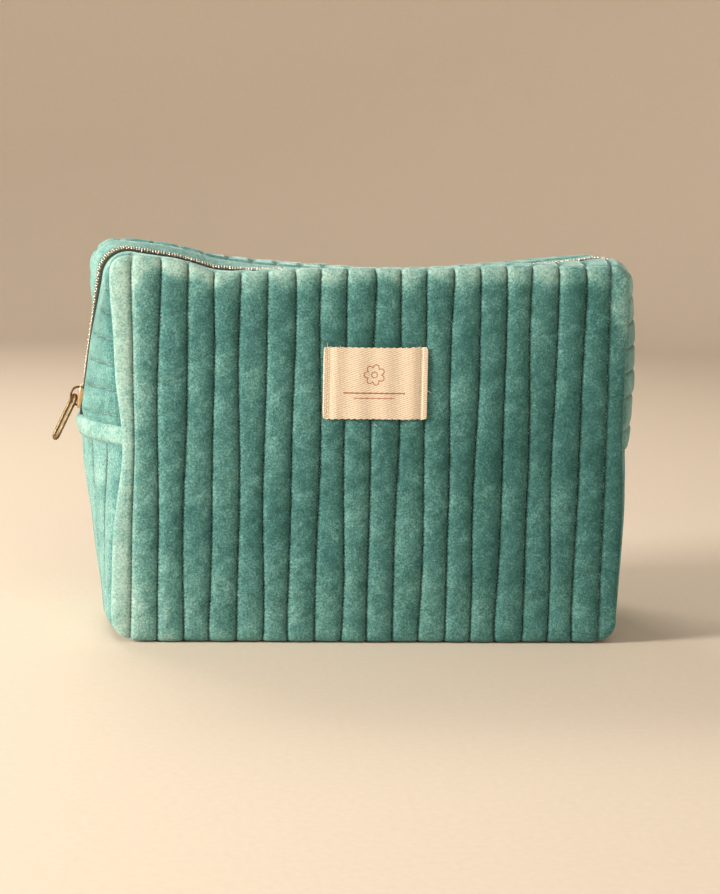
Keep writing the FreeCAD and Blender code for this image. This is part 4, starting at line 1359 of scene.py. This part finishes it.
def swept(name, path, normals, section_points, body, closed=False):
    """Bar of constant section; the section is in the (across, normal) plane of the path."""
    if closed:
        tangent = unit(np.roll(path, -1, axis=0) - np.roll(path, 1, axis=0))
    else:
        tangent = unit(np.gradient(path, axis=0))
    across = np.cross(tangent, normals)
    sideways, outwards = section_points[None, :, :1], section_points[None, :, 1:]
    grid = path[:, None] + across[:, None] * sideways + normals[:, None] * outwards
    rows, columns = grid.shape[:2]
    faces = grid_faces(rows, columns, wrap=True)
    faces += ring_faces(rows, columns) if closed else end_faces(rows, columns)
    made = new_object(name, grid, faces, BRASS)
    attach(made, body)
    return made


def oval(half_across, half_normal, power=0.7):
    """Section of a bar with rounded edges."""
    angle = full_turn(14)
    across, out = squared(np.cos(angle), power), squared(np.sin(angle), power)
    return np.stack([half_across * across, half_normal * out], axis=1)


def slider():
    """Outer and inner plate, the post that joins them, and the bail."""
    outer = slider_plate("slider_outer_plate", SLIDER_FACE - 0.35, 1.0, 1.45)
    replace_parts(outer, "slider_body")
    slider_plate("slider_inner_plate", -4.45, -1.0, 1.0)
    post = rounded_block("slider_post", (SLIDER_LOW + 0.1, -0.9, -4.6), (SLIDER_LOW + 1.9, 0.9, 0.1),
                         on_run(-1), BRASS)
    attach(post, "slider")
    # the bail, an arched strap along the outer plate
    middle = (SLIDER_LOW + SLIDER_HIGH) / 2.0
    turn = np.linspace(-BAIL_SINK, math.pi + BAIL_SINK, 41)
    rise = squared(np.sin(turn), 0.8)
    x = middle + (BAIL_REACH - 0.55) * np.cos(turn)
    z = SLIDER_FACE + (BAIL_RISE - 0.6) * rise
    place = on_run(-1)
    path = place(np.stack([x, np.zeros_like(x), z], axis=1))
    normal = np.stack([np.cos(turn) / BAIL_REACH, np.zeros_like(x), np.sin(turn) / BAIL_RISE], axis=1)
    normal = unit(place(normal) - place(np.zeros((1, 3))))
    bail = swept("bail_strap", path, normal, oval(0.95, 0.55), "slider")
    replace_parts(bail, "slider_bail")


PULL_HALF_LENGTH = 11.75    # to the middle of the wire
PULL_HALF_WIDTH = 2.35
PULL_LEAN = 25.0            # degrees out from the side of the bag
PULL_TWIST = 26.0           # and round its own length, towards the front


def pull():
    """Long slotted pull with rounded ends, hung from the bail by its head bar."""
    lean, twist = math.radians(PULL_LEAN), math.radians(PULL_TWIST)
    down = np.array([-math.sin(lean), 0.0, -math.cos(lean)])
    flat_out = np.array([-math.cos(lean), 0.0, math.sin(lean)])
    sideways = np.array([0.0, 1.0, 0.0])
    out = flat_out * math.cos(twist) - sideways * math.sin(twist)
    side_way = sideways * math.cos(twist) + flat_out * math.sin(twist)
    # its wire runs round a long slot
    turn = np.linspace(-math.pi / 2.0, math.pi / 2.0, 17)
    flat = PULL_HALF_LENGTH - PULL_HALF_WIDTH
    arc_x = flat + PULL_HALF_WIDTH * np.cos(turn)
    arc_y = PULL_HALF_WIDTH * np.sin(turn)
    straight = np.linspace(flat, -flat, 24)[1:-1]
    edge = np.full(len(straight), PULL_HALF_WIDTH)
    x = np.r_[arc_x, straight, -arc_x, straight[::-1]]
    y = np.r_[arc_y, edge, -arc_y, -edge]
    centre = PIVOT + down * PULL_HALF_LENGTH
    path = centre + x[:, None] * down + y[:, None] * side_way
    normals = np.broadcast_to(out, path.shape).copy()
    made = swept("slotted_pull", path, normals, oval(0.85, 0.75, 0.6), "pull", closed=True)
    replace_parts(made, "pull_tab")


# ---- baking pieces in place, and sewing them --------------------------------------------
def bend(piece):
    """Bakes the piece's placing into its mesh; nothing is bent at the mouth's fold."""
    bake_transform(piece)


def side_painted_light(grid):
    """Painted light on the gusset and the zip strips, over a little random mottling: paler on the left (less
    so above the hem), on the right and along the top, with painted shade near the front edge high on the
    left.
    """
    x, z = grid[..., 0], grid[..., 2]
    left, right = smooth(-x, 110.0, 124.0), smooth(x, 110.0, 124.0)
    # painted shade near the front seam, high on the left side
    shaded = 0.35 * left * bump(grid[..., 1], -SEAM_DEPTH, 18.0) * smooth(z, 125.0, 160.0)
    left = left * (1.0 - 0.45 * smooth(z, 100.0, 104.0))
    return 0.42 * left + 0.20 * right + 0.25 * smooth(z, *TOP_ZONE) - shaded + 0.06 * ripple(grid, 24.0, 83)


def name_of(side):
    return "front" if side < 0 else "back"


def stitch_rows(name, rows, material=THREAD, radius=0.33, sink=0.28):
    """Rows of quilting stitches, baked in place."""
    threads = stitching(name, rows, radius, material, sink)
    bend(threads)
    return threads


def velvet_piece(name, outer, inner, painted_crease_shade, nap_and_painted_light, flip):
    """Quilted velvet with its wadding; the side that faces the lining is plain."""
    made = closed_shell(name, outer, inner, VELVET, flip=flip)
    # each vertex carries its painted groove shade and painted light; the lining side gets none
    plain = np.zeros(inner.shape[:2])
    set_value(made, "painted_crease_shade", np.concatenate([painted_crease_shade, plain], axis=1))
    set_value(made, "nap_and_painted_light", np.concatenate([nap_and_painted_light, plain], axis=1))
    bend(made)
    return made


def sew_panel(side):
    """Quilted panel and the rows of stitches down its channels."""
    half = name_of(side)
    grid, inner, normal, painted_crease_shade, nap_and_painted_light = quilted_panel(side)
    panel = velvet_piece(half + "_quilted_panel", grid, inner, painted_crease_shade, nap_and_painted_light, flip=side < 0)
    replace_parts(panel, half + "_panel", half + "_wadding_lower", half + "_wadding_upper")
    columns = [len(SIDE_STEPS) - 1 + index * len(ACROSS) for index in range(PANEL_LINES)]
    rows = [(grid[column, 4:-4], normal[column, 4:-4]) for column in columns]
    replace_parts(stitch_rows(half + "_quilting_stitches", rows), half + "_quilting")


def sew_gusset(side):
    """One half of the gusset and the rows of stitches across it."""
    half = name_of(side)
    grid, inner, normal, painted_crease_shade, columns = gusset_half(side)
    gusset = velvet_piece(half + "_gusset_half", grid, inner, painted_crease_shade, side_painted_light(grid), flip=side > 0)
    if side < 0:
        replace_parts(gusset, "gusset", "gusset_wadding")
    # the middle row belongs to the front half
    rows = [(grid[6:-6, column], normal[6:-6, column]) for column in columns if column or side < 0]
    stitch_rows(half + "_gusset_stitches", rows)


def sew_strip(side):
    """The strip between the panel and the zipper, and its stitches."""
    half = name_of(side)
    grid, inner, normal, painted_crease_shade, rows, first = strip_half(side)
    nap_and_painted_light = side_painted_light(grid)
    strip = velvet_piece(half + "_zip_strip_quilted", grid, inner, painted_crease_shade, nap_and_painted_light, flip=side < 0)
    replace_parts(strip, half + "_zip_strip", half + "_zip_strip_wadding")
    rows = [(grid[row, first:-4], normal[row, first:-4]) for row in rows]
    stitch_rows(half + "_zip_strip_stitches", rows, PAINTED_LIT_THREAD, sink=0.12)


def sew_linings(side):
    """The gusset's lining stands for the whole CAD node in the front half."""
    half = name_of(side)
    reach = SEAM_DEPTH - 0.8
    linings = (
        ("_panel_lining", panel_lining(side), half + "_lining"),
        ("_gusset_lining", band_lining(1, side, 0.0, reach), "gusset_lining" if side < 0 else None),
        ("_strip_lining", band_lining(0, side, STRIP_EDGE + 1.0, reach), half + "_zip_strip_lining"),
    )
    for suffix, (outer, inner), node in linings:
        flip = (side < 0) == (suffix != "_gusset_lining")
        made = closed_shell(half + suffix, outer, inner, LINING_CLOTH, flip=flip)
        if node:
            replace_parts(made, node)
        bend(made)


def make_half(side):
    """Everything that is sewn to the front (side -1) or the back (side 1)."""
    sew_panel(side)
    sew_gusset(side)
    sew_strip(side)
    sew_linings(side)
    binding_ring(side)
    hem_half(-1, side)
    hem_half(1, side)
    zipper_tape(side)
    zipper_teeth(side)


make_half(-1)
make_half(1)
stops()
label()
label_stitches()
label_motif()
loose_threads()
slider()
pull()


# ---- floor, light and camera -----------------------------------------------------------------
FLOOR_RADIUS = 1800.0       # radius of the flat floor,
COVE = 700.0                # of the curve between it and the wall round it,
BACKDROP_HEIGHT = 2400.0    # and the wall's height
CAMERA_YAW = -5.0           # degrees left of the front
CAMERA_RISE = 7.5
CAMERA_ROLL = 1.33
CAMERA_AIM = (-0.00514, -0.057, 0.09487)    # metres
CAMERA_DISTANCE = 0.9
LENS = 76.95                # for a sensor 36 mm wide
BAG_MIDDLE = (0.0, 0.0, 0.08)
# name, place, aim, width and height in metres, watts and colour
LIGHTS = (
    ("key", (-1.45, -0.48, 0.62), BAG_MIDDLE, (0.40, 0.40), 39.0, (1.0, 0.95, 0.88)),
    ("fill", (0.5, -1.7, 0.9), BAG_MIDDLE, (1.2, 1.2), 9.0, (1.0, 0.96, 0.92)),
    ("rim", (-0.5, 1.0, 1.3), (0.0, 0.0, 0.12), (0.8, 0.5), 12.0, (1.0, 0.94, 0.87)),
)
ROOM_LIGHT = (1.0, 0.95, 0.90, 1.0)
ROOM_STRENGTH = 0.43


def floor():
    """Pale floor that sweeps up into a pale wall all round."""
    profile = [(r, 0.0) for r in (10.0, FLOOR_RADIUS / 3.0, FLOOR_RADIUS / 1.5, FLOOR_RADIUS)]
    for angle in np.linspace(0.1, math.pi / 2.0, 16):
        profile.append((FLOOR_RADIUS + COVE * math.sin(angle), COVE - COVE * math.cos(angle)))
    profile.append((FLOOR_RADIUS + COVE, BACKDROP_HEIGHT))
    turns = full_turn(64)
    grid = np.array([[(r * math.cos(a), r * math.sin(a), z) for a in turns] for r, z in profile])
    faces = grid_faces(len(profile), len(turns), wrap=True)
    faces.append(tuple(range(len(turns))))
    s = Surface("pale_floor", Specular_IOR_Level=0.2)
    grain = s.noise(3.0, 3.0)
    colour = s.ramp(grain, ((0.3, (0.66, 0.57, 0.46)), (0.7, (0.69, 0.60, 0.49))))
    made = new_object("floor", grid, faces, s.finish(colour, s.fit(grain, 0.3, 0.7, 0.85, 0.95)))


def area_light(name, place, aim, size, power, colour):
    light = bpy.data.lights.new(name, "AREA")
    light.shape = "RECTANGLE"
    light.size, light.size_y = size
    light.energy = power
    light.color = colour
    made = bpy.data.objects.new(name, light)
    made.location = place
    made.rotation_mode = "QUATERNION"
    made.rotation_quaternion = (Vector(aim) - Vector(place)).to_track_quat("-Z", "Y")
    bpy.context.scene.collection.objects.link(made)


def camera():
    """Seen from a little left of the front and just above, slightly rolled."""
    yaw, rise, roll = (math.radians(angle) for angle in (CAMERA_YAW, CAMERA_RISE, CAMERA_ROLL))
    back = Vector((math.sin(yaw) * math.cos(rise), -math.cos(yaw) * math.cos(rise), math.sin(rise)))
    right = Vector((0.0, 0.0, 1.0)).cross(back).normalized()
    up = back.cross(right)
    turned_right = right * math.cos(roll) + up * math.sin(roll)
    turned_up = up * math.cos(roll) - right * math.sin(roll)
    lens = bpy.data.cameras.new("camera")
    lens.lens = LENS
    lens.sensor_width = 36.0
    made = bpy.data.objects.new("camera", lens)
    axes = Matrix((turned_right, turned_up, back)).transposed().to_4x4()
    made.matrix_world = Matrix.Translation(Vector(CAMERA_AIM) + back * CAMERA_DISTANCE) @ axes
    bpy.context.scene.collection.objects.link(made)
    bpy.context.scene.camera = made


floor()
for light in LIGHTS:
    area_light(*light)
camera()

world = bpy.data.worlds.new("studio")
world.use_nodes = True
room = world.node_tree.nodes["Background"].inputs
room["Color"].default_value = ROOM_LIGHT
room["Strength"].default_value = ROOM_STRENGTH
bpy.context.scene.world = world
bpy.context.scene.view_settings.view_transform = "Standard"
